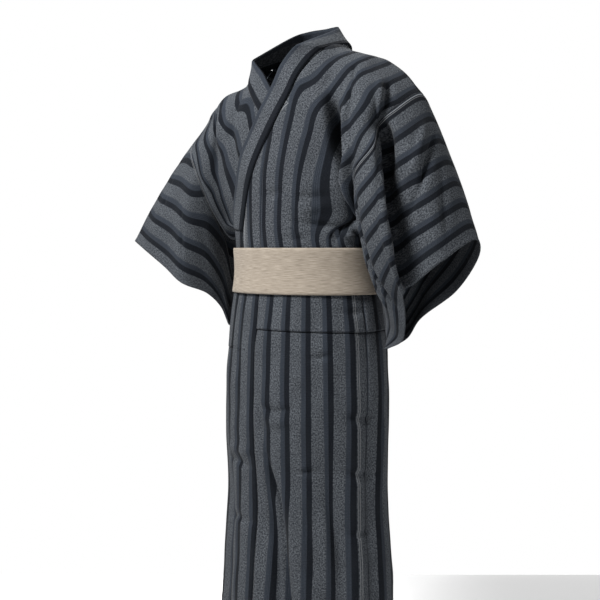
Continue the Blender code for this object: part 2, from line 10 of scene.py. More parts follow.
import bmesh
import bpy
import numpy as np
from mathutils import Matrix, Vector


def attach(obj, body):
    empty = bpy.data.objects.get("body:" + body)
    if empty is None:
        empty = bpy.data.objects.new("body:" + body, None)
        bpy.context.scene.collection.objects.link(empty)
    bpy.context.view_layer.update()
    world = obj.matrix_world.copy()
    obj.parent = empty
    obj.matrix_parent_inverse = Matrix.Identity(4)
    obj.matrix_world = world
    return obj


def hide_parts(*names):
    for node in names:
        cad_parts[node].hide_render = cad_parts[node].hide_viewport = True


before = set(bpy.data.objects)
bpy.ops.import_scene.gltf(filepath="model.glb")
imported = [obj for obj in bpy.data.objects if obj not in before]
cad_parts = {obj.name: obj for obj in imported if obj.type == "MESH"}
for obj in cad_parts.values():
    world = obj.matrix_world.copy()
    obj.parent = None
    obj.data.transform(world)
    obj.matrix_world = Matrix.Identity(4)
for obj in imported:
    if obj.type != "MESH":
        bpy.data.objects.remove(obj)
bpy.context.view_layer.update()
print("packed nodes:", len(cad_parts))

# %% [markdown]
# ## Sizes of the cut
# A robe like this is cut from cloth about 34 cm wide, so the sizes are few: how wide each panel is, how deep
# the sleeve hangs and how long the body is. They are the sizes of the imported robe, in metres. A place on a
# body panel is its share, the distance across from the centre of the back or front, and its distance down
# from the top of the shoulder, as a tailor would chalk it on the flat cloth.

# %% Sizes
CLOTH = 0.0014
COLLAR_THICKNESS = 0.0020
COVER_THICKNESS = 0.0012
BELT_THICKNESS = 0.0030
SEAM_GAP = 0.0010
ARMHOLE_GAP = 0.0006
LAID_GAP = 0.0027
BESIDE_OUT = 0.0003
COVER_GAP = 0.0014
SHOULDER_HEIGHT = 0.020
SHOULDER_SLOPE = 0.33
NECK_HALF_WIDTH = 0.070
NECK_RAISE = 0.070
NECK_RAISE_REACH = 0.120
NECKLINE_HALF_WIDTH = 0.088
NECKLINE_DEPTH_BEHIND = 0.130
NECKLINE_POWER = 2.4
NECKLINE_BLENDS_BY = 0.294
RIGHT_SHOULDER_DROP = 0.050
RIGHT_SHOULDER_REACH = 0.150
RIGHT_SHOULDER_FORWARD = 0.030
FORWARD_REACH = (0.090, 0.210)
SHOULDER_ROUNDING = 0.130
OVER_SHOULDER = 0.190
CHEST_POWER = 2.0
SHOULDER_POWER = 2.3
SQUARED_BY = 0.200
WAIST_Z = -0.420
WAIST_DOWN = 0.480
SETTLE_FROM = 0.390
SETTLED_BY = 0.465
HEM_Z = -1.220
SLEEVE_WIDTH = 0.340
SLEEVE_DEPTH = 0.490
ARMHOLE_SHARE = 0.320
ARMHOLE_FREE_FROM = 0.330
SIDE_SHARE = 0.300
SIDE_ANGLE = 17.0
OVERLAP_SEAM_SHARE = 0.065
OVERLAP_EDGE_SHARE = -0.083
UNDER_COLLAR = 0.006
COLLAR_GAP = 0.0012
NECK_TUCK = 0.002
NECK_TUCK_REACH = (0.030, 0.090)
NECK_PART = 0.16
NECK_LEAN = 0.4
RIGHT_NECK_DROP = 0.006
OVER_OUT = 0.0080
LAYER_FULL_BY = 0.120
LAYER_ENDS = (0.200, 0.300)
LAYER_RETURNS = (0.360, 0.460)
BELT_OUT = 0.0132
BELT_HEIGHT = 0.098
BELT_GAP = 0.0006
COLLAR_END_Z = -0.640
COLLAR_END_GAP = 0.0006
COLLAR_END_STEP = 0.0008
OVERLAP_MIN_WIDTH = 0.0005
SLEEVE_SEAM_GAP = 0.0004
HIP_Z = -0.560
COVER_SHARE = 17 / 26
BODY_LENGTH = WAIST_DOWN + WAIST_Z - HEM_Z
print("length from shoulder to hem:", round(BODY_LENGTH, 3), "m")

# %% [markdown]
# ## The form in tables
# The body is a stack of level sections. Each sleeve is a set of rails along the arm, and a fold falls from
# each shoulder to the side of the waist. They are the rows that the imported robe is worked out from, so the
# fine cloth lies where the solids are. None of it is a list of mesh points: a row is one fold or section.

# %% Sections, rails and folds
SECTIONS = (
    # z, half width, half depth in front, half depth behind
    (0.020, 0.285, 0.112, 0.100),
    (-0.060, 0.262, 0.122, 0.108),
    (-0.150, 0.222, 0.130, 0.116),
    (-0.250, 0.188, 0.130, 0.118),
    (-0.350, 0.172, 0.122, 0.116),
    (-0.420, 0.165, 0.117, 0.113),
    (-0.480, 0.162, 0.116, 0.114),
    (-0.560, 0.174, 0.126, 0.122),
    (-0.660, 0.184, 0.134, 0.131),
    (-0.800, 0.188, 0.136, 0.125),
    (-0.950, 0.185, 0.130, 0.120),
    (-1.100, 0.193, 0.136, 0.130),
    (-1.220, 0.199, 0.142, 0.138),
)
SKIRT_FOLDS = (
    # top angle, top z, foot angle, foot z, half width in degrees, depth
    (94.0, -0.840, 76.0, -1.300, 11.0, 0.024),
    (48.0, -0.700, 40.0, -1.300, 9.0, 0.010),
    (18.0, -0.640, 14.0, -1.300, 8.0, 0.012),
    (140.0, -0.800, 132.0, -1.300, 10.0, 0.010),
    (205.0, -0.620, 212.0, -1.300, 10.0, 0.013),
    (268.0, -0.700, 262.0, -1.300, 13.0, 0.012),
    (318.0, -0.620, 310.0, -1.300, 10.0, 0.013),
)
FOLD_QUICKNESS = 2.2
LEFT_RAILS = (
    # name, distance round, place at the armhole, half way, at the cuff
    ("top", 0.00, (0.285, 0.000, -0.102), (0.350, 0.000, -0.257), (0.405, 0.000, -0.404)),
    ("arm front", 0.08, (0.264, -0.078, -0.144), (0.334, -0.082, -0.292), (0.370, -0.068, -0.446)),
    ("groove", 0.145, (0.232, -0.082, -0.170), (0.254, -0.064, -0.330), (0.314, -0.062, -0.486)),
    ("ridge", 0.205, (0.246, -0.124, -0.216), (0.270, -0.126, -0.374), (0.294, -0.084, -0.508)),
    ("ribbon", 0.265, (0.202, -0.120, -0.264), (0.222, -0.110, -0.426), (0.284, -0.062, -0.540)),
    ("lower front", 0.33, (0.198, -0.094, -0.320), (0.220, -0.086, -0.468), (0.278, -0.050, -0.582)),
    ("pouch front", 0.41, (0.203, -0.040, -0.400), (0.220, -0.046, -0.530), (0.262, -0.038, -0.612)),
    ("bottom", 0.49, (0.206, -0.006, -0.488), (0.216, -0.012, -0.588), (0.214, -0.024, -0.630)),
    ("pouch back", 0.57, (0.206, 0.020, -0.405), (0.232, 0.030, -0.530), (0.258, -0.012, -0.606)),
    ("lower back", 0.65, (0.212, 0.070, -0.320), (0.256, 0.080, -0.450), (0.278, 0.010, -0.566)),
    ("back", 0.76, (0.240, 0.098, -0.230), (0.296, 0.098, -0.365), (0.330, 0.066, -0.512)),
    ("arm back", 0.88, (0.272, 0.066, -0.145), (0.340, 0.066, -0.290), (0.392, 0.046, -0.438)),
)
RIGHT_RAILS = (
    ("top", 0.00, (-0.268, -0.026, -0.146), (-0.362, -0.058, -0.268), (-0.448, -0.080, -0.404)),
    ("arm front", 0.09, (-0.252, -0.080, -0.168), (-0.330, -0.108, -0.300), (-0.392, -0.106, -0.424)),
    ("valley", 0.165, (-0.232, -0.122, -0.202), (-0.284, -0.122, -0.334), (-0.322, -0.112, -0.464)),
    ("ridge", 0.24, (-0.208, -0.132, -0.250), (-0.246, -0.128, -0.378), (-0.264, -0.118, -0.500)),
    ("lower front", 0.33, (-0.200, -0.100, -0.322), (-0.222, -0.088, -0.436), (-0.232, -0.070, -0.524)),
    ("pouch front", 0.41, (-0.203, -0.040, -0.400), (-0.214, -0.042, -0.500), (-0.219, -0.030, -0.562)),
    ("bottom", 0.49, (-0.206, -0.006, -0.485), (-0.214, -0.008, -0.566), (-0.213, -0.004, -0.610)),
    ("pouch back", 0.57, (-0.206, 0.020, -0.405), (-0.228, 0.030, -0.508), (-0.224, 0.010, -0.577)),
    ("lower back", 0.65, (-0.212, 0.066, -0.325), (-0.254, 0.066, -0.436), (-0.252, 0.022, -0.537)),
    ("back", 0.76, (-0.236, 0.086, -0.240), (-0.304, 0.066, -0.364), (-0.332, 0.012, -0.484)),
    ("arm back", 0.88, (-0.262, 0.040, -0.165), (-0.350, 0.016, -0.300), (-0.424, -0.034, -0.440)),
)
SHOULDER_FOLDS = {
    # distance down, valley, ridge
    "front_left": (
        (0.00, (0.210, 0.000, -0.028), (0.250, 0.000, -0.058)),
        (0.08, (0.196, -0.080, -0.068), (0.236, -0.084, -0.098)),
        (0.14, (0.184, -0.106, -0.122), (0.226, -0.106, -0.140)),
        (0.20, (0.172, -0.104, -0.182), (0.204, -0.120, -0.202)),
        (0.26, (0.164, -0.098, -0.240), (0.188, -0.114, -0.256)),
        (0.32, (0.161, -0.090, -0.296), (0.182, -0.100, -0.310)),
        (0.39, (0.157, -0.069, -0.352), (0.176, -0.070, -0.362)),
        (0.48, (0.143, -0.058, -0.420), (0.156, -0.040, -0.420)),
    ),
    "front_right": (
        (0.00, (0.210, 0.000, -0.028), (0.250, 0.000, -0.058)),
        (0.08, (0.184, -0.066, -0.068), (0.216, -0.044, -0.080)),
        (0.14, (0.174, -0.092, -0.122), (0.206, -0.088, -0.130)),
        (0.20, (0.168, -0.098, -0.182), (0.198, -0.112, -0.190)),
        (0.26, (0.164, -0.096, -0.240), (0.188, -0.114, -0.252)),
        (0.32, (0.161, -0.088, -0.296), (0.182, -0.100, -0.308)),
        (0.39, (0.157, -0.069, -0.352), (0.176, -0.070, -0.362)),
        (0.48, (0.143, -0.058, -0.420), (0.156, -0.040, -0.420)),
    ),
    "back": (
        (0.00, (0.210, 0.000, -0.028), (0.250, 0.000, -0.058)),
        (0.10, (0.196, 0.076, -0.084), (0.236, 0.070, -0.112)),
        (0.20, (0.180, 0.096, -0.170), (0.212, 0.102, -0.190)),
        (0.30, (0.164, 0.084, -0.262), (0.190, 0.094, -0.282)),
        (0.39, (0.158, 0.056, -0.345), (0.178, 0.052, -0.360)),
        (0.48, (0.152, 0.040, -0.420), (0.160, 0.004, -0.420)),
    ),
}
CHEST_SHARE = 0.185
VALLEY_SHARE = 0.222
RIDGE_SHARE = 0.265
BLEND_STEP = 0.035
COLLAR_AT_NECK = (
    # free edge, share of the back neckline that the other edge is sewn to
    ((0.000, 0.070, 0.078), 0.000),
    ((0.038, 0.058, 0.076), 0.052),
    ((0.056, 0.016, 0.058), 0.086),
)
COLLAR_DOWN_CHEST = (
    # free edge x, z, sewn edge x, z, how far the free edge stands off
    (0.050, -0.010, 0.088, -0.006, 0.016),
    (0.030, -0.036, 0.068, -0.055, 0.008),
    (0.002, -0.084, 0.043, -0.106, 0.002),
    (-0.036, -0.146, 0.006, -0.168, 0.000),
    (-0.084, -0.230, -0.040, -0.248, 0.000),
    (-0.116, -0.320, -0.074, -0.332, 0.000),
)
COLLAR_AT_WAIST = (
    # z, free edge angle, sewn edge angle
    (-0.420, 146.0, 127.0),
    (-0.500, 147.0, 129.0),
    (-0.640, 149.0, 132.0),
)
BELT_PIECES = (
    # name, how far out, left and right edges, bottom, top, lean, bulge
    ("belt_knot", BELT_THICKNESS + 0.0018, 0.046, -0.046, -0.528, -0.412, 0.0, 0.006),
    ("belt_end_up", 0.0004, 0.022, -0.056, -0.458, -0.330, -0.040, 0.0),
    ("belt_end_side", 0.0011, 0.128, -0.030, -0.516, -0.464, 0.010, 0.0),
)
print("sleeve rails:", len(LEFT_RAILS), "left,", len(RIGHT_RAILS), "right")

# %% [markdown]
# ## Reading the tables
# Every function below takes whole arrays of places and gives arrays of points, so a sheet of many thousand
# places is worked out in one go. A row of a table is read between its keys along a curve without kinks, which
# is what gives folds their soft run.

# %% Curves between rows


def smooth(keys, rows, at):
    """Rows of a table read at many keys, along curves with no kinks."""
    at = np.asarray(at, float)
    keys = np.broadcast_to(np.asarray(keys, float), (len(at), np.shape(keys)[-1]))
    rows = np.asarray(rows, float)
    rows = np.broadcast_to(rows, (len(at), *rows.shape[-2:]))
    last = keys.shape[1] - 1
    at = np.clip(at, keys[:, 0], keys[:, -1])
    i = np.clip((keys <= at[:, None]).sum(1) - 1, 0, last - 1)
    each = np.arange(len(at))

    def slope(k):
        low = np.maximum(k - 1, 0)
        high = np.minimum(k + 1, last)
        return (rows[each, high] - rows[each, low]) / (keys[each, high] - keys[each, low])[:, None]

    span = (keys[each, i + 1] - keys[each, i])[:, None]
    t = (at - keys[each, i])[:, None] / span
    return (
        (2 * t**3 - 3 * t**2 + 1) * rows[each, i]
        + (t**3 - 2 * t**2 + t) * span * slope(i)
        + (3 * t**2 - 2 * t**3) * rows[each, i + 1]
        + (t**3 - t**2) * span * slope(i + 1)
    )


def ease(x):
    """A soft step from 0 to 1."""
    x = np.clip(x, 0.0, 1.0)
    return x * x * (3 - 2 * x)


def rising(x, start, end):
    """A soft step that rises between two places."""
    return ease((x - start) / (end - start))


def level(*values):
    """Numbers and arrays made arrays of one length."""
    return [np.array(v, float) for v in np.broadcast_arrays(*[np.atleast_1d(v) for v in values])]


def mixed(first, second, share):
    """Points part of the way from the first to the second."""
    return first + (second - first) * np.asarray(share)[:, None]


# %% The round body


def section(z):
    """Half width, front depth and back depth of the body at heights."""
    return smooth([-row[0] for row in SECTIONS], [row[1:] for row in SECTIONS], -z).T


def fold_depth(angle, z):
    """How far the skirt's folds draw the cloth in."""
    depth = np.zeros(len(z))
    for top_angle, top_z, foot_angle, foot_z, half_width, deepest in SKIRT_FOLDS:
        share = (z - top_z) / (foot_z - top_z)
        centre = top_angle + (foot_angle - top_angle) * share
        across = ((angle - centre + 180.0) % 360.0 - 180.0) / half_width
        depth += np.where(share > 0, deepest * ease(share * FOLD_QUICKNESS) * np.exp(-(across**2)), 0.0)
    return depth


def round_body(angle, z, out=0.0):
    """Points of the tube below the chest. Angle 0 is the left side, 90 the front, 270 the back."""
    angle, z = level(angle, z)
    half_width, front, back = section(z)
    turn = np.radians(angle)
    depth = np.where(np.sin(turn) > 0, front, back)
    draw_in = fold_depth(angle, z)
    x = (half_width + out - draw_in) * np.cos(turn)
    y = -(depth + out - draw_in) * np.sin(turn)
    return np.column_stack([x, y, z])


ARC_ANGLES = np.arange(SIDE_ANGLE - 10.0, 371.0 + SIDE_ANGLE, 1.0)
ARC_STEPS = np.linalg.norm(np.diff(round_body(ARC_ANGLES, HIP_Z), axis=0), axis=1)
ARC_LENGTHS = np.concatenate([[0.0], np.cumsum(ARC_STEPS)])
ARC_LENGTHS = ARC_LENGTHS - np.interp(SIDE_ANGLE, ARC_ANGLES, ARC_LENGTHS)
ARC_TO_BACK = np.interp(270.0, ARC_ANGLES, ARC_LENGTHS)
ARC_BACK_WIDTH = np.interp(360.0 + SIDE_ANGLE, ARC_ANGLES, ARC_LENGTHS) - ARC_TO_BACK


def front_angle(share):
    """The angle of a stripe of the left front. Its side seam is at SIDE_SHARE."""
    return np.interp(SIDE_SHARE - share, ARC_LENGTHS, ARC_ANGLES)


def front_share(angle):
    """The stripe of the left front at an angle."""
    return SIDE_SHARE - np.interp(angle, ARC_ANGLES, ARC_LENGTHS)


def back_angle(share):
    """The angle of a stripe of the left back. The centre seam is at share 0."""
    return np.interp(ARC_TO_BACK + share / SIDE_SHARE * ARC_BACK_WIDTH, ARC_LENGTHS, ARC_ANGLES)


print("hips round:", round(float(ARC_STEPS[:360].sum()), 3), "m")

# %% The shoulders and the chest


def shoulder_line(x):
    """Height of the cloth over the shoulder, raised towards the neck."""
    beyond = np.maximum(np.abs(x) - NECK_HALF_WIDTH, 0.0)
    drop = np.where(x < 0, RIGHT_SHOULDER_DROP * ease(-x / RIGHT_SHOULDER_REACH), 0.0)
    raised = NECK_RAISE * (1.0 - ease(np.abs(x) / NECK_RAISE_REACH))
    return SHOULDER_HEIGHT + raised - SHOULDER_SLOPE * beyond - drop


def chest_depth(x, z, behind):
    """How far the chest or the back stands from the shoulder line at places."""
    half_width, front, back = section(z)
    power = CHEST_POWER + (SHOULDER_POWER - CHEST_POWER) * ease((z - WAIST_Z) / SQUARED_BY)
    across = np.maximum(1.0 - (np.abs(x) / half_width) ** power, 0.0) ** (1 / power)
    drop = np.clip((shoulder_line(x) - z) / SHOULDER_ROUNDING, 0.0, 1.0)
    return (back if behind else front) * across * np.sqrt(1.0 - (1.0 - drop) ** 2)


def height_down(x, down):
    """Height of points that lie a distance down the cloth from the shoulder line."""
    top = shoulder_line(x)
    turn = np.clip(down / OVER_SHOULDER, 0.0, 1.0) * math.pi / 2
    start = top - SHOULDER_ROUNDING
    below = start + (WAIST_Z - start) * (down - OVER_SHOULDER) / (WAIST_DOWN - OVER_SHOULDER)
    return np.where(down < OVER_SHOULDER, top - SHOULDER_ROUNDING * (1.0 - np.cos(turn)), below)


def down_at(x, z):
    """The distance down the cloth of heights, the reverse of height_down."""
    top = shoulder_line(x)
    start = top - SHOULDER_ROUNDING
    over = np.arccos(np.clip(1.0 - (top - z) / SHOULDER_ROUNDING, -1.0, 1.0)) * OVER_SHOULDER * 2 / math.pi
    below = OVER_SHOULDER + (z - start) / (WAIST_Z - start) * (WAIST_DOWN - OVER_SHOULDER)
    return np.where(z > start, over, below)


def chest_x(share, down, behind):
    """Sideways place of stripes above the waist, for the left side."""
    at_waist = round_body(back_angle(share) if behind else front_angle(share), WAIST_Z)[:, 0]
    return share + (at_waist - share) * ease(down / WAIST_DOWN)


def chest_place(x, z):
    """The share and the distance down of one point of the left chest."""
    down = float(down_at(np.array([x]), np.array([z]))[0])
    shares = np.linspace(-SIDE_SHARE / 2, SIDE_SHARE, 60)
    return float(np.interp(x, chest_x(shares, down, False), shares)), down


# %% Sleeves and whole panels


def sleeve_point(rails, along, round_it):
    """Points of a sleeve. Along runs from armhole 0 to cuff 1, and round_it starts at the top fold."""
    along, round_it = level(along, round_it)
    loop = 2 * SLEEVE_DEPTH
    keys = []
    rows = []
    for turn in (-1, 0, 1):
        for _, distance, seam, middle, cuff in rails:
            keys.append(distance + turn * loop)
            start, half, end = np.array(seam), np.array(middle), np.array(cuff)
            bend = 4 * half - 3 * start - end
            rows.append(start + np.outer(along, bend) + np.outer(along * along, end - start - bend))
    return smooth(keys, np.stack(rows, axis=1), round_it % loop)


def free_of_armhole(down):
    """How far the edge of the body has left the armhole for the side seam."""
    return rising(down, ARMHOLE_FREE_FROM, WAIST_DOWN)


def outer_share(down):
    """The share of the body's outer edge: the armhole, and then the side seam."""
    return ARMHOLE_SHARE + (SIDE_SHARE - ARMHOLE_SHARE) * free_of_armhole(down)


def mirrored(points, side):
    return points * np.array([side, 1.0, 1.0])


def upper_point(side, share, down, behind):
    """Points of a body panel above the waist. Side is 1 for the left and -1 for the right."""
    down = np.maximum(down, 0.0)
    rails = LEFT_RAILS if side > 0 else RIGHT_RAILS
    settle = 1.0 - ease(down / WAIST_DOWN)
    lowered = settle * (RIGHT_SHOULDER_DROP if side < 0 else 0.0)
    forward = settle * (RIGHT_SHOULDER_FORWARD if side < 0 else 0.0)

    def on_chest(stripe):
        x = side * chest_x(stripe, down, behind)
        z = height_down(x, down)
        depth = chest_depth(x, z, behind)
        y = (depth if behind else -depth) - forward * rising(stripe, *FORWARD_REACH)
        return np.column_stack([x, y, z])

    folds = SHOULDER_FOLDS["back" if behind else "front_left" if side > 0 else "front_right"]
    keys = [row[0] for row in folds]
    valley, ridge = (mirrored(smooth(keys, [row[k] for row in folds], down), side) for k in (1, 2))
    for points in (valley, ridge):
        points[:, 1] -= forward
        points[:, 2] -= lowered
    loop = 2 * SLEEVE_DEPTH
    at_armhole = sleeve_point(rails, 0.0, loop - down if behind else down)
    side_seam = mirrored(round_body(SIDE_ANGLE, WAIST_Z), side)
    edge = mixed(at_armhole, side_seam, free_of_armhole(down))
    columns = (
        (CHEST_SHARE - 2 * BLEND_STEP, on_chest(CHEST_SHARE - 2 * BLEND_STEP)),
        (CHEST_SHARE - BLEND_STEP, on_chest(CHEST_SHARE - BLEND_STEP)),
        (CHEST_SHARE, on_chest(CHEST_SHARE)),
        (VALLEY_SHARE, valley),
        (RIDGE_SHARE, ridge),
        (outer_share(down), edge),
    )
    stations = np.column_stack([np.broadcast_to(c[0], down.shape) for c in columns])
    fold = smooth(stations, np.stack([c[1] for c in columns], axis=1), share)
    angle = back_angle(share) if behind else front_angle(share)
    at_waist = mirrored(round_body(angle, WAIST_Z), side)
    at_waist[:, 2] += WAIST_DOWN - down
    fold = mixed(fold, at_waist, rising(down, SETTLE_FROM, SETTLED_BY))
    return np.where((share <= CHEST_SHARE - BLEND_STEP)[:, None], on_chest(share), fold)


def panel_point(side, share, down, behind):
    """Points of a body panel, from the shoulder to the hem, with no layer added."""
    share, down = level(share, down)
    angle = back_angle(share) if behind else front_angle(share)
    if side < 0:
        angle = (180.0 - angle) % 360.0
    lower = round_body(angle, np.minimum(WAIST_Z - (down - WAIST_DOWN), WAIST_Z))
    upper = upper_point(side, share, np.minimum(down, WAIST_DOWN), behind)
    return np.where((down < WAIST_DOWN)[:, None], upper, lower)


def panel_normal(side, share, down, behind, step=0.004):
    """The way out of the cloth at places on a panel."""
    share, down = level(share, down)
    up = np.maximum(down - step, 0.0)
    across = panel_point(side, share + step, down, behind) - panel_point(side, share - step, down, behind)
    along = panel_point(side, share, down + step, behind) - panel_point(side, share, up, behind)
    normal = np.cross(across, along)
    normal /= np.linalg.norm(normal, axis=1)[:, None]
    return normal if (side > 0) == behind else -normal


def layer_out(side, share, down, behind):
    """How far a panel lies out, so that the left front lies over the right one."""
    if side < 0:
        return np.zeros(len(share))
    near_armhole = rising(share, *LAYER_ENDS)
    kept = 1.0 - near_armhole * (1.0 - rising(down, *LAYER_RETURNS))
    from_centre = ease(share / SIDE_SHARE) if behind else 1.0
    return OVER_OUT * rising(down, 0.0, LAYER_FULL_BY) * kept * from_centre


def laid(side, share, down, behind=False, more=0.0):
    """Points on a panel in its layer, moved out by more."""
    share, down = level(share, down)
    out = layer_out(side, share, down, behind) + more
    return panel_point(side, share, down, behind) + panel_normal(side, share, down, behind) * out[:, None]


# %% The collar's path


def neckline(share):
    """How far down the back the neckline is cut."""
    within = np.minimum(share / NECKLINE_HALF_WIDTH, 1.0)
    return NECKLINE_DEPTH_BEHIND * np.sqrt(np.maximum(1.0 - within**NECKLINE_POWER, 0.0))


COLLAR_KEYS = []
COLLAR_ROWS = []
for free_x, free_z, sewn_x, sewn_z, stands in COLLAR_DOWN_CHEST:
    COLLAR_KEYS.append(-sewn_z)
    COLLAR_ROWS.append((*chest_place(free_x, free_z), *chest_place(sewn_x, sewn_z), stands))
for z, free_angle, sewn_angle in COLLAR_AT_WAIST:
    down = WAIST_DOWN + WAIST_Z - z
    COLLAR_KEYS.append(-z)
    COLLAR_ROWS.append((front_share(free_angle), down, front_share(sewn_angle), down, 0.0))
COLLAR_PATH = smooth(COLLAR_KEYS, COLLAR_ROWS, np.linspace(COLLAR_KEYS[0], COLLAR_KEYS[-1], 90))


def sewn_share(down):
    """The share of the collar's sewn edge at distances down the front."""
    return np.interp(down, COLLAR_PATH[:, 3], COLLAR_PATH[:, 2])


def collar_down_front(side, key, across, more):
    """Points of the collar on a front. Across runs from the free edge 0 to the sewn edge 1."""
    free_share, free_down, sewn, sewn_down, stands = smooth(COLLAR_KEYS, COLLAR_ROWS, key).T
    share = free_share + (sewn - free_share) * across
    down = free_down + (sewn_down - free_down) * across
    return laid(side, share, down, more=BESIDE_OUT + more + stands * (1.0 - across))


def collar_point(side, along, across, more=0.0):
    """Points of the collar, from the nape, along 0, to its end on one front, along 1."""
    along, across = level(along, across)
    first, last = COLLAR_KEYS[0], COLLAR_KEYS[-1]
    share = np.maximum((along - NECK_PART) / (1.0 - NECK_PART), 0.0)
    on_front = collar_down_front(side, first + (last - first) * share, across, more)
    keys = [0.0, NECK_PART * 0.36, NECK_PART * 0.72, NECK_PART]
    lowest = -RIGHT_NECK_DROP if side < 0 else 0.0
    rows = []
    for i, (free, back_share) in enumerate(COLLAR_AT_NECK):
        sewn = laid(side, back_share, neckline(back_share) + UNDER_COLLAR, True, CLOTH + LAID_GAP + more)[0]
        free = np.array(free) * np.array([side, 1.0, 1.0])
        away = np.array([free[0], free[1], 0.0])
        away = away / np.linalg.norm(away) + np.array([0.0, 0.0, NECK_LEAN])
        free = free + away / np.linalg.norm(away) * more + np.array([0.0, 0.0, lowest * i / 3])
        rows.append(free + np.outer(across, sewn - free))
    rows.append(collar_down_front(side, np.full(len(along), first), across, more))
    at_neck = smooth(keys, np.stack(rows, axis=1), along)
    return np.where((along >= NECK_PART)[:, None], on_front, at_neck)


print("collar runs from z", -COLLAR_KEYS[0], "to z", -COLLAR_KEYS[-1])

# %% [markdown]
# ## Creases
# Worn cotton has a few clear creases and a soft unevenness between them. A simulation would give folds of its
# own, in other places, so the clear ones are laid one by one: each is a short line on the flat cloth with its
# depth and width, and the cloth sinks or rises along it, most in the middle and to nothing at its ends. The
# body's creases are placed by the angle round the body and the height, so every layer there moves together
# and the layers stay apart.

# %% Soft lines on flat cloth
GIRTH_RADIUS = 0.155


def soft_lines(places, lines):
    """How far the lines move the cloth out at flat places. A depth below zero is a trough."""
    moved = np.zeros(len(places))
    for number, (depth, width, *points) in enumerate(lines):
        points = np.array(points, float)
        lengths = np.linalg.norm(np.diff(points, axis=0), axis=1)
        starts = np.concatenate([[0.0], np.cumsum(lengths)])
        nearest = np.full(len(places), 1e9)
        run = np.zeros(len(places))
        side = np.zeros(len(places))
        for i, length in enumerate(lengths):
            step = points[i + 1] - points[i]
            along = np.clip((places - points[i]) @ step / length**2, 0.0, 1.0)
            off = places - points[i] - along[:, None] * step
            distance = np.linalg.norm(off, axis=1)
            closer = distance < nearest
            nearest = np.where(closer, distance, nearest)
            run = np.where(closer, (starts[i] + along * length) / starts[-1], run)
            side = np.where(closer, off[:, 0] * step[1] - off[:, 1] * step[0], side)
        strength = np.sin(math.pi * np.clip(run * 0.94 + 0.03, 0.0, 1.0)) ** 0.7
        strength *= 1.0 + 0.22 * np.sin(9.0 * run + 2.1 * number)
        spread = width * (0.65 + 0.35 * strength) * np.where(side > 0, 1.25, 0.85)
        q = (nearest / spread) ** 2
        moved += depth * strength * (1.0 - 0.45 * q) * np.exp(-q)
    return moved


def unevenness(places, seed, longest, height):
    """A soft unevenness of the cloth, from waves that cross each other."""
    waves = np.random.default_rng(seed)
    moved = np.zeros(len(places))
    for _ in range(14):
        length = longest * waves.uniform(0.35, 1.0)
        turn = waves.uniform(0.0, 2 * math.pi)
        way = np.array([math.cos(turn), math.sin(turn) * 0.7])
        moved += np.sin(places @ way * 2 * math.pi / length + waves.uniform(0.0, 6.0)) * length / longest
    return moved / 6.0 * height


# %% The body's creases
BODY_CREASES = (
    # depth, width, then places as metres round from the left side seam and height
    (-0.0045, 0.009, (0.105, -0.308), (0.135, -0.314), (0.172, -0.311)),
    (0.0035, 0.010, (0.100, -0.330), (0.140, -0.338), (0.176, -0.334)),
    (-0.0050, 0.008, (0.066, -0.374), (0.110, -0.373), (0.182, -0.364)),
    (-0.0035, 0.008, (0.150, -0.398), (0.185, -0.402), (0.215, -0.396)),
    (-0.0040, 0.009, (0.205, -0.300), (0.235, -0.306), (0.262, -0.299)),
    (-0.0055, 0.007, (0.098, -0.640), (0.120, -0.644), (0.146, -0.648)),
    (-0.0050, 0.008, (0.180, -0.754), (0.220, -0.760), (0.266, -0.757)),
    (0.0040, 0.012, (0.180, -0.778), (0.222, -0.784), (0.262, -0.780)),
    (-0.0060, 0.008, (0.128, -0.880), (0.152, -0.884), (0.178, -0.886)),
    (-0.0070, 0.012, (0.022, -0.778), (0.050, -0.776), (0.076, -0.768)),
    (-0.0070, 0.011, (0.018, -0.894), (0.046, -0.892), (0.074, -0.884)),
    (-0.0065, 0.012, (0.276, -0.725), (0.262, -0.790), (0.249, -0.868)),
    (-0.0150, 0.009, (0.250, -0.860), (0.241, -0.905), (0.224, -0.960), (0.209, -1.058), (0.190, -1.230)),
    (0.0070, 0.014, (0.270, -0.880), (0.262, -0.960), (0.250, -1.080), (0.240, -1.220)),
    (0.0060, 0.016, (0.205, -0.900), (0.186, -0.980), (0.172, -1.090), (0.160, -1.220)),
    (0.0055, 0.014, (0.403, -0.862), (0.350, -0.858), (0.290, -0.856)),
    (-0.0050, 0.010, (0.400, -0.885), (0.345, -0.884), (0.295, -0.892)),
    (-0.0045, 0.010, (0.412, -1.018), (0.350, -1.004), (0.280, -1.010)),
    (-0.0060, 0.014, (0.155, -0.960), (0.140, -1.030), (0.130, -1.120)),
    (-0.0060, 0.013, (0.110, -0.930), (0.098, -1.000), (0.082, -1.080), (0.076, -1.180)),
    (0.0050, 0.015, (0.120, -0.940), (0.112, -1.030), (0.104, -1.140)),
    (-0.0050, 0.010, (0.070, -1.010), (0.050, -1.018), (0.026, -1.012)),
    (-0.0035, 0.010, (0.290, -0.540), (0.284, -0.580), (0.280, -0.630)),
    (-0.0035, 0.009, (0.030, -0.548), (0.060, -0.556), (0.090, -0.550)),
    (-0.0040, 0.010, (0.560, -0.330), (0.620, -0.338), (0.680, -0.330)),
    (-0.0036, 0.010, (0.690, -0.372), (0.740, -0.380), (0.790, -0.372)),
    (-0.0046, 0.012, (0.600, -0.640), (0.660, -0.652), (0.720, -0.646)),
    (-0.0044, 0.012, (0.760, -0.700), (0.820, -0.712), (0.870, -0.706)),
    (0.0044, 0.016, (0.640, -0.860), (0.700, -0.875), (0.760, -0.868)),
    (-0.0060, 0.014, (0.700, -0.860), (0.690, -0.980), (0.680, -1.150)),
    (-0.0050, 0.013, (0.820, -0.900), (0.835, -1.020), (0.840, -1.180)),
)


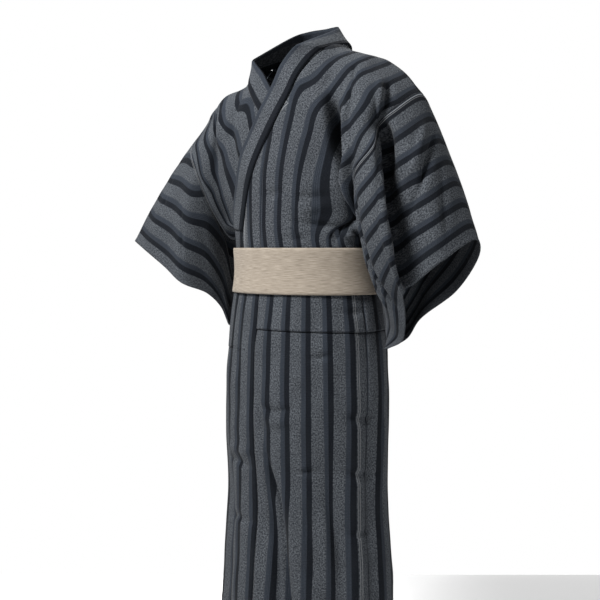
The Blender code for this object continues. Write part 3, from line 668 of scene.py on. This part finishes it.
def round_and_height(points):
    """Points of the body as metres round it from the left side seam, and height."""
    angle = np.arctan2(-points[:, 1], points[:, 0]) % (2 * math.pi)
    return np.column_stack([angle * GIRTH_RADIUS, points[:, 2]])


def body_moved(points):
    """How far creases and unevenness move the body's cloth out."""
    places = round_and_height(points)
    away_from_neck = rising(-points[:, 2], 0.02, 0.14)
    soft = unevenness(places, 4, 0.11, 0.0020)
    upright = unevenness(places * np.array([1.0, 0.16]), 9, 0.06, 0.0022)
    skirt = rising(-points[:, 2], 0.52, 0.60)
    return soft_lines(places, BODY_CREASES) + (soft + upright * skirt) * away_from_neck


FRONT_CREASES = {
    # depth, width, then places as share across and distance down
    "left": (
        (-0.0600, 0.019, (0.165, 0.175), (0.200, 0.228), (0.228, 0.280), (0.240, 0.350), (0.240, 0.450)),
        (0.0220, 0.011, (0.214, 0.165), (0.262, 0.240), (0.276, 0.310), (0.282, 0.400)),
        (0.0110, 0.010, (0.250, 0.060), (0.285, 0.105), (0.316, 0.150)),
        (-0.0140, 0.010, (0.268, 0.050), (0.300, 0.088), (0.322, 0.124)),
        (0.0140, 0.012, (0.238, 0.420), (0.262, 0.446), (0.284, 0.462)),
        (-0.0060, 0.009, (0.205, 0.110), (0.225, 0.140), (0.232, 0.185)),
        (-0.0050, 0.009, (0.175, 0.095), (0.195, 0.110), (0.215, 0.100)),
        (-0.0040, 0.010, (0.130, 0.090), (0.150, 0.130), (0.145, 0.180)),
    ),
    "right": (
        (-0.0100, 0.012, (0.120, 0.120), (0.150, 0.190), (0.165, 0.270), (0.170, 0.360)),
        (-0.0080, 0.011, (0.190, 0.100), (0.215, 0.180), (0.225, 0.280)),
        (0.0050, 0.010, (0.160, 0.090), (0.185, 0.180), (0.195, 0.290)),
    ),
}
print("body creases:", len(BODY_CREASES))

# %% [markdown]
# ## Cutting and laying the cloth
# Each piece starts as a flat unit grid, the way cloth comes off the roll. The grid is laid on the form, its
# flat place in metres is kept as a UV map for the stripes to follow, and a Solidify modifier gives it the
# thickness of cotton. Seams and hems are pressed in as the piece is laid.

# %% Helpers for cloth pieces
CLOTH_MAP = "cloth"
EDGE_ATTRIBUTE = "light_edge"
FAR_FROM_EDGE = 0.05


def cut_cloth(name, columns, rows, place, closed=False, turned=False, thickness=CLOTH):
    """A piece of cloth. Place gives points, flat places and distances from a light edge for a unit square."""
    cut = bmesh.new()
    bmesh.ops.create_grid(cut, x_segments=columns, y_segments=rows, size=0.5)
    corners = np.array([v.co for v in cut.verts])
    points, flat, light = place(corners[:, 0] + 0.5, 0.5 - corners[:, 1])
    flat_map = cut.loops.layers.uv.new(CLOTH_MAP)
    edge = cut.verts.layers.float.new(EDGE_ATTRIBUTE)
    for corner, point, distance in zip(cut.verts, points, light):
        corner.co = point
        corner[edge] = distance
    for face in cut.faces:
        for loop in face.loops:
            loop[flat_map].uv = flat[loop.vert.index]
    if closed:
        bmesh.ops.remove_doubles(cut, verts=cut.verts, dist=0.00002)
    if turned:
        bmesh.ops.reverse_faces(cut, faces=cut.faces)
    mesh = bpy.data.meshes.new(name)
    cut.to_mesh(mesh)
    cut.free()
    mesh.shade_smooth()
    piece = bpy.data.objects.new(name, mesh)
    bpy.context.scene.collection.objects.link(piece)
    wall = piece.modifiers.new("wall", "SOLIDIFY")
    wall.thickness = thickness
    wall.offset = 1.0
    print(name, "has", len(mesh.polygons), "faces")
    return piece


def normals_of(points, columns, rows, turned):
    """The way out at each point of a laid grid, from its neighbours."""
    grid = points.reshape(rows + 1, columns + 1, 3)
    across = np.gradient(grid, axis=1)
    down = np.gradient(grid, axis=0)
    normal = np.cross(across, down).reshape(-1, 3)
    normal /= np.maximum(np.linalg.norm(normal, axis=1), 1e-9)[:, None]
    return -normal if turned else normal


def pressed(distance, depth=0.0009, width=0.0035):
    """How far the cloth sinks beside a seam or a folded edge."""
    return -depth * np.exp(-((distance / width) ** 2))


def hemmed(distance, width):
    """How far a turned hem stands up: two more thicknesses, and a dip at its stitching."""
    raised = 0.0009 * (1.0 - rising(distance, width - 0.001, width + 0.002))
    return raised - 0.0006 * np.exp(-(((distance - width) / 0.0018) ** 2))


# %% Where the stripes run on a front
STRIPE_SHIFT = (
    # distance down, how far the stripes there are drawn towards the centre
    (0.060, 0.000),
    (0.100, 0.009),
    (0.150, 0.016),
    (0.190, 0.032),
    (0.220, 0.036),
    (0.260, 0.032),
    (0.340, 0.030),
    (0.400, 0.027),
    (0.470, 0.022),
    (0.530, 0.000),
)
VALLEY_HIDES = 0.034
SEAM_TOP = (
    # share and distance down along the seam of the left overlap, above the place where its piece starts
    (0.092, 0.230),
    (0.078, 0.255),
    (0.062, 0.286),
    (0.044, 0.308),
    (0.028, 0.328),
    (0.016, 0.352),
    (0.008, 0.400),
    (0.006, 0.470),
)


def striped_at(share, down):
    """The flat place of a front, with the stripes drawn in over the chest."""
    shift = smooth([row[0] for row in STRIPE_SHIFT], [row[1:] for row in STRIPE_SHIFT], down)[:, 0]
    in_valley = rising(down, 0.230, 0.300) * (1.0 - rising(down, 0.470, 0.520))
    shift = shift + VALLEY_HIDES * rising(share, 0.200, 0.262) * in_valley
    return np.column_stack([share + shift, down])


def off_seam(share, down):
    """How far places lie from the top of the overlap's seam, on its right side."""
    seam = np.interp(down, [row[1] for row in SEAM_TOP], [row[0] for row in SEAM_TOP])
    away = (share - seam) * 0.75
    within = (down > SEAM_TOP[0][1]) & (down < WAIST_DOWN + 0.02) & (away > -0.004)
    return np.where(within, np.maximum(away, 0.0) + 0.0022, FAR_FROM_EDGE)


# %% Backs and fronts
PANEL_COLUMNS = 56
PANEL_ROWS = 300
HEM_WIDTH = 0.018
BACK_SEAM_GAP = 0.0001
TUCK_DOWN = 0.654
TUCK_REACH = 0.030
TUCK_RAISE = 0.0034
SIDE_ALLOWANCE = 0.015
SIDE_STITCHES_FROM = 0.500


def row_down(down):
    """The distance down of a panel's rows, closer together at the tuck, where the fold is sharp."""
    rows = (0.0, 0.44, 0.60, 1.0)
    return np.interp(down, rows, (SEAM_GAP, TUCK_DOWN - 0.024, TUCK_DOWN + 0.026, BODY_LENGTH))


def tucked(share, down):
    """A tuck taken across the panel: the cloth above it lies over a sharp dark line."""
    line = TUCK_DOWN + 0.012 * (share - 0.18)
    above = line - down
    raised = TUCK_RAISE * np.where(above > 0, np.exp(-above / TUCK_REACH), 0.0)
    return raised - 0.0052 * np.exp(-(((above + 0.0014) / 0.0018) ** 2))


def laid_with_creases(side, share, down, behind, more):
    """A body panel on its form, with the body's creases and what the piece adds."""
    base = laid(side, share, down, behind)
    out = body_moved(base) + more
    return base + panel_normal(side, share, down, behind) * out[:, None]


def cut_front(side, word):
    def place(across, down):
        distance = row_down(down)
        at_neck = 1.0 - rising(distance, *NECK_TUCK_REACH)
        beside_collar = sewn_share(distance) + COLLAR_GAP - NECK_TUCK * at_neck
        inner = np.maximum(OVERLAP_SEAM_SHARE + SEAM_GAP / 2, beside_collar)
        outer = outer_share(distance) - ARMHOLE_GAP
        share = inner + (outer - inner) * across
        to_side = outer - share
        more = pressed(to_side) + pressed(share - inner) + hemmed(BODY_LENGTH - distance, HEM_WIDTH)
        places = np.column_stack([share, distance])
        near_armhole = rising(share, 0.315, 0.300)
        more = more + soft_lines(places, FRONT_CREASES[word]) * near_armhole
        if side > 0:
            more = more + tucked(share, distance)
        light = np.where(distance > SIDE_STITCHES_FROM, to_side - SIDE_ALLOWANCE, FAR_FROM_EDGE)
        if side > 0:
            light = np.minimum(light, off_seam(share, distance))
        return laid_with_creases(side, share, distance, False, more), striped_at(share, distance), light

    return cut_cloth(f"front_{word}_cloth", PANEL_COLUMNS, PANEL_ROWS, place, turned=side < 0)


def cut_back(side, word):
    def place(across, down):
        straight = row_down(down)
        inner = BACK_SEAM_GAP / 2
        outer = outer_share(straight) - ARMHOLE_GAP
        share = inner + (outer - inner) * across
        distance = straight + neckline(share) * np.maximum(1.0 - straight / NECKLINE_BLENDS_BY, 0.0)
        to_side = outer - share
        more = pressed(to_side) + pressed(share - inner) + hemmed(BODY_LENGTH - distance, HEM_WIDTH)
        more = more + tucked(share, distance)
        light = np.full(len(share), FAR_FROM_EDGE)
        return laid_with_creases(side, share, distance, True, more), np.column_stack([share, distance]), light

    return cut_cloth(f"back_{word}_cloth", PANEL_COLUMNS, PANEL_ROWS, place, turned=side > 0)


PANELS = {}
for side, word in ((1, "left"), (-1, "right")):
    PANELS[f"front_{word}"] = cut_front(side, word)
    PANELS[f"back_{word}"] = cut_back(side, word)

# %% [markdown]
# ## Overlaps
# The overlap is the extra strip sewn to each front, so that the fronts cross. Its free edge has a narrow hem
# and shows on the left one, which lies on top.

# %% Overlaps
OVERLAP_COLUMNS = 34
OVERLAP_ROWS = 230
OVERLAP_HEM = 0.012
OVERLAP_TOP = float(np.interp(-OVERLAP_SEAM_SHARE, -COLLAR_PATH[:, 2], COLLAR_PATH[:, 3]))
print("overlap starts", round(OVERLAP_TOP, 3), "m down")


COLLAR_ENDS_DOWN = WAIST_DOWN + WAIST_Z - COLLAR_END_Z + COLLAR_END_GAP
ROWS_ABOVE_END = round(OVERLAP_ROWS * (COLLAR_ENDS_DOWN - OVERLAP_TOP) / (BODY_LENGTH - OVERLAP_TOP))
OVERLAP_ROW_KNOTS = (0.0, ROWS_ABOVE_END / OVERLAP_ROWS, (ROWS_ABOVE_END + 1) / OVERLAP_ROWS, 1.0)
OVERLAP_ROW_DOWN = (OVERLAP_TOP, COLLAR_ENDS_DOWN, COLLAR_ENDS_DOWN + COLLAR_END_STEP, BODY_LENGTH)


def cut_overlap(side, word):
    def place(across, down):
        distance = np.interp(down, OVERLAP_ROW_KNOTS, OVERLAP_ROW_DOWN)
        seam = OVERLAP_SEAM_SHARE - SEAM_GAP / 2
        beside_collar = np.minimum(sewn_share(distance) + COLLAR_GAP, seam - OVERLAP_MIN_WIDTH)
        past_collar = rising(distance, COLLAR_ENDS_DOWN, COLLAR_ENDS_DOWN + COLLAR_END_STEP)
        edge = beside_collar + (OVERLAP_EDGE_SHARE - beside_collar) * past_collar
        share = edge + (seam - edge) * across
        more = pressed(seam - share) + hemmed(BODY_LENGTH - distance, HEM_WIDTH)
        more = more + hemmed(share - edge, OVERLAP_HEM) * past_collar
        light = off_seam(share, distance) if side > 0 else np.full(len(share), FAR_FROM_EDGE)
        return laid_with_creases(side, share, distance, False, more), striped_at(share, distance), light

    return cut_cloth(f"overlap_{word}_cloth", OVERLAP_COLUMNS, OVERLAP_ROWS, place, turned=side < 0)


for side, word in ((1, "left"), (-1, "right")):
    PANELS[f"overlap_{word}"] = cut_overlap(side, word)

# %% [markdown]
# ## Sleeves
# A sleeve is one length of cloth folded over the arm and sewn up below the cuff, so it hangs as a deep bag.
# The stripes run across the arm, because the cloth is used on its side. The grid starts at the bottom fold,
# where its seam doesn't show.

# %% Sleeves
SLEEVE_ROUND = 196
SLEEVE_ALONG = 68
CUFF_HEM = 0.010
SLEEVE_STRIPE_START = 0.303
SLEEVE_STRIPE_SCALE = 0.85
STRIPES_KEPT = {
    # distance round from the top fold, share of the width that lies between the armhole and the cuff there
    "left": ((0.0, 1.0), (0.98, 1.0)),
    "right": (
        (0.000, 1.00),
        (0.090, 0.84),
        (0.165, 0.74),
        (0.240, 0.65),
        (0.330, 0.48),
        (0.410, 0.42),
        (0.490, 0.40),
        (0.570, 0.42),
        (0.650, 0.52),
        (0.760, 0.72),
        (0.980, 1.00),
    ),
}
SLEEVE_CREASES = {
    # depth, width, then places as share along from the armhole seam and distance round from the top fold
    "left": (
        (-0.0500, 0.023, (0.006, 0.118), (0.070, 0.144), (0.140, 0.164), (0.245, 0.174), (0.336, 0.186)),
        (0.0140, 0.009, (0.006, 0.156), (0.070, 0.190), (0.160, 0.206), (0.250, 0.208), (0.336, 0.214)),
        (-0.0130, 0.009, (0.085, 0.004), (0.122, 0.040), (0.170, 0.086), (0.220, 0.126)),
        (0.0090, 0.012, (0.065, 0.030), (0.105, 0.065), (0.150, 0.105)),
        (-0.0060, 0.009, (0.160, 0.030), (0.230, 0.052), (0.300, 0.060)),
        (-0.0200, 0.016, (0.050, 0.266), (0.120, 0.280), (0.210, 0.288), (0.300, 0.290)),
        (0.0060, 0.012, (0.100, 0.320), (0.180, 0.335), (0.260, 0.345)),
        (-0.0026, 0.010, (0.100, 0.900), (0.180, 0.870), (0.270, 0.860)),
        (-0.0032, 0.012, (0.060, 0.760), (0.150, 0.740), (0.250, 0.730)),
        (-0.0026, 0.012, (0.090, 0.640), (0.170, 0.625), (0.260, 0.640)),
    ),
    "right": (
        (-0.0030, 0.012, (0.050, 0.060), (0.130, 0.100), (0.230, 0.120)),
        (-0.0026, 0.010, (0.120, 0.200), (0.200, 0.230), (0.290, 0.240)),
        (-0.0026, 0.010, (0.100, 0.900), (0.180, 0.870), (0.270, 0.860)),
        (-0.0030, 0.012, (0.070, 0.740), (0.160, 0.720), (0.240, 0.715)),
    ),
}


def cut_sleeve(side, word):
    rails = LEFT_RAILS if side > 0 else RIGHT_RAILS
    turned = side > 0

    def place(across, down):
        along = SLEEVE_SEAM_GAP / SLEEVE_WIDTH + (1.0 - SLEEVE_SEAM_GAP / SLEEVE_WIDTH) * down
        round_it = (across + 0.5) * 2 * SLEEVE_DEPTH
        base = sleeve_point(rails, along, round_it)
        from_seam = along * SLEEVE_WIDTH
        wrapped = round_it % (2 * SLEEVE_DEPTH)
        flat = np.column_stack([from_seam, wrapped])
        out = soft_lines(flat, SLEEVE_CREASES[word]) * rising(from_seam, 0.0, 0.028)
        turn = wrapped / SLEEVE_DEPTH * math.pi
        soft = unevenness(np.column_stack([from_seam, 0.156 * np.cos(turn)]), 21 + side, 0.10, 0.0010)
        out += soft * np.sin(math.pi * down) ** 0.5
        out += pressed(from_seam) + hemmed(SLEEVE_WIDTH - from_seam, CUFF_HEM)
        normal = normals_of(base, SLEEVE_ROUND, SLEEVE_ALONG, turned)
        kept_rows = STRIPES_KEPT[word]
        kept = smooth([row[0] for row in kept_rows], [row[1:] for row in kept_rows], wrapped)
        from_cuff = (SLEEVE_WIDTH - from_seam) * kept[:, 0]
        stripes = SLEEVE_STRIPE_START + SLEEVE_STRIPE_SCALE * (SLEEVE_WIDTH - from_cuff)
        stripes = np.column_stack([stripes, round_it])
        return base + normal * out[:, None], stripes, from_seam

    return cut_cloth(f"sleeve_{word}_cloth", SLEEVE_ROUND, SLEEVE_ALONG, place, closed=True, turned=turned)


for side, word in ((1, "left"), (-1, "right")):
    PANELS[f"sleeve_{word}"] = cut_sleeve(side, word)

# %% [markdown]
# ## Collar
# The collar is a folded band that runs from one front round the neck to the other, with a second, shorter
# cover over it that takes the wear. Both keep the stripes of the cloth running along them.

# %% Collar and its cover
COLLAR_COLUMNS = 12
COLLAR_ROWS_FINE = 330
COLLAR_WIDTH = 0.055
COLLAR_FLAT_LENGTH = 1.66


def collar_piece(name, reach, more, thickness):
    def place(across, down):
        side_left = down < 0.5
        along = np.abs(1.0 - 2.0 * down) * reach
        left = collar_point(1, along, 1.0 - across, more)
        right = collar_point(-1, along, 1.0 - across, more)
        points = np.where(side_left[:, None], left, right)
        normal = normals_of(points, COLLAR_COLUMNS, COLLAR_ROWS_FINE, False)
        from_sewn = across * COLLAR_WIDTH
        near_edge = np.minimum(across, 1.0 - across) * COLLAR_WIDTH
        out = body_moved(points) + pressed(near_edge, 0.0007, 0.0025)
        flat = np.column_stack([from_sewn, (down - 0.5) * COLLAR_FLAT_LENGTH * reach])
        return points + normal * out[:, None], flat, across * COLLAR_WIDTH + FAR_FROM_EDGE

    return cut_cloth(name, COLLAR_COLUMNS, COLLAR_ROWS_FINE, place, thickness=thickness)


PANELS["collar"] = collar_piece("collar_band", 1.0, 0.0, COLLAR_THICKNESS)
PANELS["collar_cover"] = collar_piece(
    "collar_cover_cloth", COVER_SHARE, COLLAR_THICKNESS + COVER_GAP, COVER_THICKNESS
)

# %% [markdown]
# ## Belt
# The belt is stiff linen, wound flat round the waist and closed with a flat knot behind. It has no creases
# of its own, only a slight roll at its edges, so it stays a clean band against the robe.

# %% Belt
BELT_ROUND = 180
BELT_ROWS = 20
BELT_FLAT_LENGTH = 0.95


def belt_edges(share, height):
    """The rounding of the belt's woven edges."""
    return pressed(np.minimum(share, 1.0 - share) * height, 0.0008, 0.003)


def place_belt(across, down):
    z = WAIST_Z - BELT_HEIGHT * down
    points = round_body(360.0 * across, z, BELT_OUT + belt_edges(down, BELT_HEIGHT))
    flat = np.column_stack([across * BELT_FLAT_LENGTH, down * BELT_HEIGHT])
    return points, flat, np.full(len(across), FAR_FROM_EDGE)


BELT = {}
BELT["belt_band"] = cut_cloth(
    "belt_band_cloth", BELT_ROUND, BELT_ROWS, place_belt, closed=True, turned=True, thickness=BELT_THICKNESS
)
ON_BELT = BELT_OUT + BELT_THICKNESS + BELT_GAP
for name, out, left, right, bottom, top, lean, bulge in BELT_PIECES:

    def place_piece(across, down):
        x = right + (left - right) * across + lean * (0.5 - down)
        z = top + (bottom - top) * down
        half_width, _, back = section(np.minimum(z, WAIST_Z))
        stands = ON_BELT + out + bulge * np.sin(math.pi * down) * np.sin(math.pi * across)
        y = (back + stands) * np.sqrt(1.0 - (x / (half_width + stands)) ** 2)
        flat = np.column_stack([x, z])
        return np.column_stack([x, y, z]), flat, np.full(len(x), FAR_FROM_EDGE)

    BELT[name] = cut_cloth(f"{name}_cloth", 36, 30, place_piece, turned=True, thickness=BELT_THICKNESS)

# %% [markdown]
# ## Materials
# Yarn-dyed cotton has its colour in the threads, so the stripes are part of the weave and run with it. They
# are worked out from the flat map, not from a picture. A small class wraps a socket, so the maths of the
# pattern reads as plain expressions.

# %% Sockets as values


class Thread:
    """One output of a material's node tree, for use in expressions."""

    def __init__(self, weave, socket):
        self.weave = weave
        self.socket = socket

    def __add__(self, other):
        return self.weave.maths("ADD", self, other)

    def __sub__(self, other):
        return self.weave.maths("SUBTRACT", self, other)

    def __rsub__(self, other):
        return self.weave.maths("SUBTRACT", other, self)

    def __mul__(self, other):
        return self.weave.maths("MULTIPLY", self, other)

    def __truediv__(self, other):
        return self.weave.maths("DIVIDE", self, other)

    __radd__ = __add__
    __rmul__ = __mul__


class Weave:
    """A material whose nodes are added one by one."""

    def __init__(self, name):
        self.material = bpy.data.materials.new(name)
        self.material.use_nodes = True
        self.tree = self.material.node_tree
        self.surface = self.tree.nodes["Principled BSDF"]

    def node(self, kind, settings=None, values=None, out=0):
        made = self.tree.nodes.new(kind)
        for name, value in (settings or {}).items():
            setattr(made, name, value)
        for name, value in (values or {}).items():
            self.join(made.inputs[name], value)
        return Thread(self, made.outputs[out])

    def join(self, socket, value):
        if isinstance(value, Thread):
            self.tree.links.new(value.socket, socket)
        else:
            socket.default_value = value

    def maths(self, operation, first, second=0.0):
        return self.node("ShaderNodeMath", {"operation": operation}, {0: first, 1: second})

    def rise(self, value, start, end):
        settings = {"interpolation_type": "SMOOTHSTEP"}
        return self.node("ShaderNodeMapRange", settings, {"Value": value, "From Min": start, "From Max": end})

    def noise(self, across, down, scale, detail=2.0, roughness=0.5):
        place = self.node("ShaderNodeCombineXYZ", None, {"X": across, "Y": down})
        values = {"Vector": place, "Scale": scale, "Detail": detail, "Roughness": roughness}
        return self.node("ShaderNodeTexNoise", {"noise_dimensions": "2D"}, values)

    def mix(self, share, first, second):
        made = self.tree.nodes.new("ShaderNodeMix")
        made.data_type = "RGBA"
        self.join(made.inputs[0], share)
        self.join(made.inputs[6], first)
        self.join(made.inputs[7], second)
        return Thread(self, made.outputs[2])

    def flat_place(self):
        place = self.node("ShaderNodeUVMap", {"uv_map": CLOTH_MAP})
        split = self.node("ShaderNodeSeparateXYZ", None, {"Vector": place})
        return split, Thread(self, split.socket.node.outputs[1])


# %% Striped cotton
STRIPE_REPEAT = 0.0421
COLLAR_REPEAT = 0.0545
LIGHT_SHARE = 0.53
BLUE_SHARE = 0.22
HEATHER_DARK = (0.011, 0.013, 0.0165, 1.0)
HEATHER_PALE = (0.066, 0.072, 0.080, 1.0)
BLUE_GREY = (0.014, 0.0175, 0.0235, 1.0)
BLUE_PALE = (0.034, 0.039, 0.048, 1.0)
BLUE_DEEP = (0.0075, 0.0095, 0.0135, 1.0)
NEAR_BLACK = (0.0030, 0.0040, 0.0060, 1.0)
BLACK_PALE = (0.0075, 0.0092, 0.0120, 1.0)
SHADE_GREY = (0.0090, 0.0105, 0.0130, 1.0)
STITCHES = (0.130, 0.135, 0.140, 1.0)


def striped_cotton(name, start, repeat):
    """Cloth with its stripes counted from a start, in metres on the flat map."""
    cloth = Weave(name)
    across, down = cloth.flat_place()
    wander = (cloth.noise(across * 30.0, down * 9.0, 1.0) - 0.5) * 0.0012
    phase = cloth.maths("FRACT", (across - start + wander) / repeat)
    end_blue = LIGHT_SHARE + BLUE_SHARE
    to_blue = cloth.rise(phase, LIGHT_SHARE - 0.03, LIGHT_SHARE + 0.05)
    to_black = cloth.rise(phase, end_blue - 0.015, end_blue + 0.015)
    to_light = cloth.rise(phase, 0.985, 1.0)
    fine = cloth.maths("SINE", across * (2 * math.pi / 0.0023))
    fine_share = cloth.rise(fine, -0.2, 0.9) * 0.45
    heather = cloth.noise(across * 430.0, down * 300.0, 1.0, 3.0, 0.62)
    blotch = cloth.noise(across * 30.0, down * 18.0, 1.0, 2.0)
    light = cloth.mix(cloth.rise(heather, 0.30, 0.72), HEATHER_DARK, HEATHER_PALE)
    blue = cloth.mix(fine_share, BLUE_GREY, BLUE_PALE)
    blue = cloth.mix(cloth.rise(heather, 0.35, 0.7) * 0.35, blue, BLUE_DEEP)
    black = cloth.mix(cloth.rise(heather, 0.45, 0.8) * 0.4, NEAR_BLACK, BLACK_PALE)
    colour = cloth.mix(to_blue, light, blue)
    colour = cloth.mix(to_black, colour, black)
    colour = cloth.mix(to_light, colour, light)
    colour = cloth.mix(cloth.rise(blotch, 0.3, 0.7) * 0.18, colour, SHADE_GREY)
    edge = cloth.node("ShaderNodeAttribute", {"attribute_name": EDGE_ATTRIBUTE}, out=2)
    first_line = cloth.rise(cloth.maths("ABSOLUTE", edge - 0.0030), 0.0011, 0.0005)
    second_line = cloth.rise(cloth.maths("ABSOLUTE", edge - 0.0068), 0.0010, 0.0004)
    lines = cloth.maths("MAXIMUM", first_line, second_line * 0.8)
    colour = cloth.mix(lines * 0.7, colour, STITCHES)
    cloth.join(cloth.surface.inputs["Base Color"], colour)
    crepe = cloth.noise(across * 330.0, down * 230.0, 1.0, 3.0, 0.6)
    threads = down * (2 * math.pi / 0.0031)
    ribs = cloth.maths("SINE", threads + cloth.noise(across * 60.0, down * 60.0, 1.0) * 9.0)
    height = crepe * 0.7 + ribs * 0.15
    bump = cloth.node("ShaderNodeBump", None, {"Height": height, "Strength": 0.9, "Distance": 0.0011})
    cloth.join(cloth.surface.inputs["Normal"], bump)
    cloth.surface.inputs["Roughness"].default_value = 0.93
    cloth.surface.inputs["Specular IOR Level"].default_value = 0.08
    cloth.surface.inputs["Sheen Weight"].default_value = 0.02
    cloth.surface.inputs["Sheen Roughness"].default_value = 0.45
    return cloth.material


# %% [markdown]
# The belt's linen has thick and thin threads running along it, so its colour wavers in long fine streaks. A
# faint rib crosses them.

# %% Belt weave


def belt_weave():
    cloth = Weave("belt_weave")
    along, height = cloth.flat_place()
    slub = cloth.noise(along * 42.0, height * 950.0, 1.0, 3.0, 0.6)
    broad = cloth.noise(along * 9.0, height * 150.0, 1.0, 2.0)
    colour = cloth.mix(cloth.rise(slub, 0.28, 0.74), (0.128, 0.107, 0.085, 1.0), (0.248, 0.215, 0.176, 1.0))
    colour = cloth.mix(cloth.rise(broad, 0.3, 0.7) * 0.35, colour, (0.172, 0.146, 0.117, 1.0))
    cloth.join(cloth.surface.inputs["Base Color"], colour)
    rib = cloth.maths("SINE", along * (2 * math.pi / 0.0018))
    bump = cloth.node(
        "ShaderNodeBump", None, {"Height": slub * 0.8 + rib * 0.12, "Strength": 0.5, "Distance": 0.0005}
    )
    cloth.join(cloth.surface.inputs["Normal"], bump)
    cloth.surface.inputs["Roughness"].default_value = 0.88
    cloth.surface.inputs["Specular IOR Level"].default_value = 0.10
    cloth.surface.inputs["Sheen Weight"].default_value = 0.06
    return cloth.material


FRONT_START = 0.0226
COLLAR_START = COLLAR_REPEAT * (1.0 - LIGHT_SHARE - BLUE_SHARE)
BODY_COTTON = striped_cotton("striped_cotton", FRONT_START, STRIPE_REPEAT)
COLLAR_COTTON = striped_cotton("striped_cotton_collar", COLLAR_START, COLLAR_REPEAT)
LINEN = belt_weave()
for name, piece in PANELS.items():
    piece.data.materials.append(COLLAR_COTTON if name.startswith("collar") else BODY_COTTON)
for piece in BELT.values():
    piece.data.materials.append(LINEN)
print("materials:", len(bpy.data.materials))

# %% [markdown]
# ## What each piece stands for
# Every sheet rides on the robe's one body and replaces its solid. Both sleeves are cut as whole rectangles,
# but the right sleeve as laid here holds only half of its cloth. The areas stated for them are lower, because
# the right sleeve as laid here holds only half of its cloth and its true cut stops the script. That is a
# fault of its form.

# %% Ride and replace
for name, piece in {**PANELS, **BELT}.items():
    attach(piece, "root")
    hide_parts(name)
    "belt_weave" if name in BELT else "striped_cotton"
    held = "laid" if name in BELT else "draped"

# %% [markdown]
# ## Floor, light and camera
# The robe hangs over a pale floor against plain white. The main light is soft and comes from the left of the
# picture, with weaker ones from the right and from behind. The camera is level, at the height of the waist.

# %% Floor
VIEW_ANGLE = math.radians(35.0)
FLOOR_Z = -1.470
ROOM = 6.0


def plain_paint(name, colour):
    paint = Weave(name)
    paint.surface.inputs["Base Color"].default_value = colour
    paint.surface.inputs["Roughness"].default_value = 0.9
    return paint.material


def stage_sheet(name, points, paint):
    surface = bmesh.new()
    bmesh.ops.create_grid(surface, x_segments=1, y_segments=1, size=0.5)
    for corner in surface.verts:
        corner.co = points(corner.co.x, corner.co.y)
    mesh = bpy.data.meshes.new(name)
    surface.to_mesh(mesh)
    surface.free()
    mesh.materials.append(paint)
    sheet = bpy.data.objects.new(name, mesh)
    bpy.context.scene.collection.objects.link(sheet)
    return sheet


WHITE = plain_paint("white_paint", (0.88, 0.88, 0.88, 1.0))
WALL_DISTANCE = 0.98


def floor_point(x, y):
    """The floor reaches from the front to the line where the wall would stand, square to the view."""
    back = WALL_DISTANCE - (0.5 - y) * ROOM
    across = x * 2 * ROOM
    return Vector((
        across * math.cos(VIEW_ANGLE) - back * math.sin(VIEW_ANGLE),
        across * math.sin(VIEW_ANGLE) + back * math.cos(VIEW_ANGLE),
        FLOOR_Z,
    ))


stage_sheet("floor", floor_point, WHITE)

# %% Camera
CAMERA_DISTANCE = 2.2
CAMERA_Z = -0.42
IMAGE_SIZE = 600
FOCAL_PIXELS = 990.0
AXIS_COLUMN, HORIZON_ROW = 307.0, 248.0

lens = bpy.data.cameras.new("camera")
lens.sensor_width = 36.0
lens.lens = FOCAL_PIXELS / IMAGE_SIZE * lens.sensor_width
lens.shift_x = (IMAGE_SIZE / 2 - AXIS_COLUMN) / IMAGE_SIZE
lens.shift_y = (HORIZON_ROW - IMAGE_SIZE / 2) / IMAGE_SIZE
lens.clip_end = 60.0
camera = bpy.data.objects.new("camera", lens)
bpy.context.scene.collection.objects.link(camera)
camera.location = (
    CAMERA_DISTANCE * math.sin(VIEW_ANGLE),
    -CAMERA_DISTANCE * math.cos(VIEW_ANGLE),
    CAMERA_Z,
)
camera.rotation_euler = (math.radians(90.0), 0.0, VIEW_ANGLE)
bpy.context.scene.camera = camera
print("lens:", round(lens.lens, 1), "mm")

# %% Lights
WORLD_STRENGTH = 0.36


def soft_light(name, azimuth, distance, height, size, watts):
    """A square soft box that looks at the waist. Azimuth 0 is straight in front, and 90 at the left side."""
    shade = bpy.data.lights.new(name, "AREA")
    shade.size = size
    shade.energy = watts
    lamp = bpy.data.objects.new(name, shade)
    turn = math.radians(azimuth)
    lamp.location = (distance * math.sin(turn), -distance * math.cos(turn), height)
    aim = Vector((0.0, 0.0, -0.5)) - lamp.location
    lamp.rotation_euler = aim.to_track_quat("-Z", "Y").to_euler()
    bpy.context.scene.collection.objects.link(lamp)


soft_light("key", -14.0, 1.9, 1.4, 0.8, 185.0)
soft_light("fill", 100.0, 3.0, 0.5, 1.4, 28.0)
soft_light("back", 200.0, 3.2, 1.6, 1.8, 60.0)
world = bpy.data.worlds.new("soft_white")
world.use_nodes = True
world.node_tree.nodes["Background"].inputs["Color"].default_value = (1.0, 1.0, 1.0, 1.0)
world.node_tree.nodes["Background"].inputs["Strength"].default_value = WORLD_STRENGTH
# Seen by the camera the world is plain white, and it lights the robe more weakly than that.
seen = world.node_tree.nodes.new("ShaderNodeLightPath").outputs["Is Camera Ray"]
strength = world.node_tree.nodes.new("ShaderNodeMapRange")
strength.inputs["To Min"].default_value = WORLD_STRENGTH
strength.inputs["To Max"].default_value = 1.0
world.node_tree.links.new(seen, strength.inputs["Value"])
world.node_tree.links.new(strength.outputs[0], world.node_tree.nodes["Background"].inputs["Strength"])
bpy.context.scene.world = world
bpy.context.scene.view_settings.view_transform = "Standard"
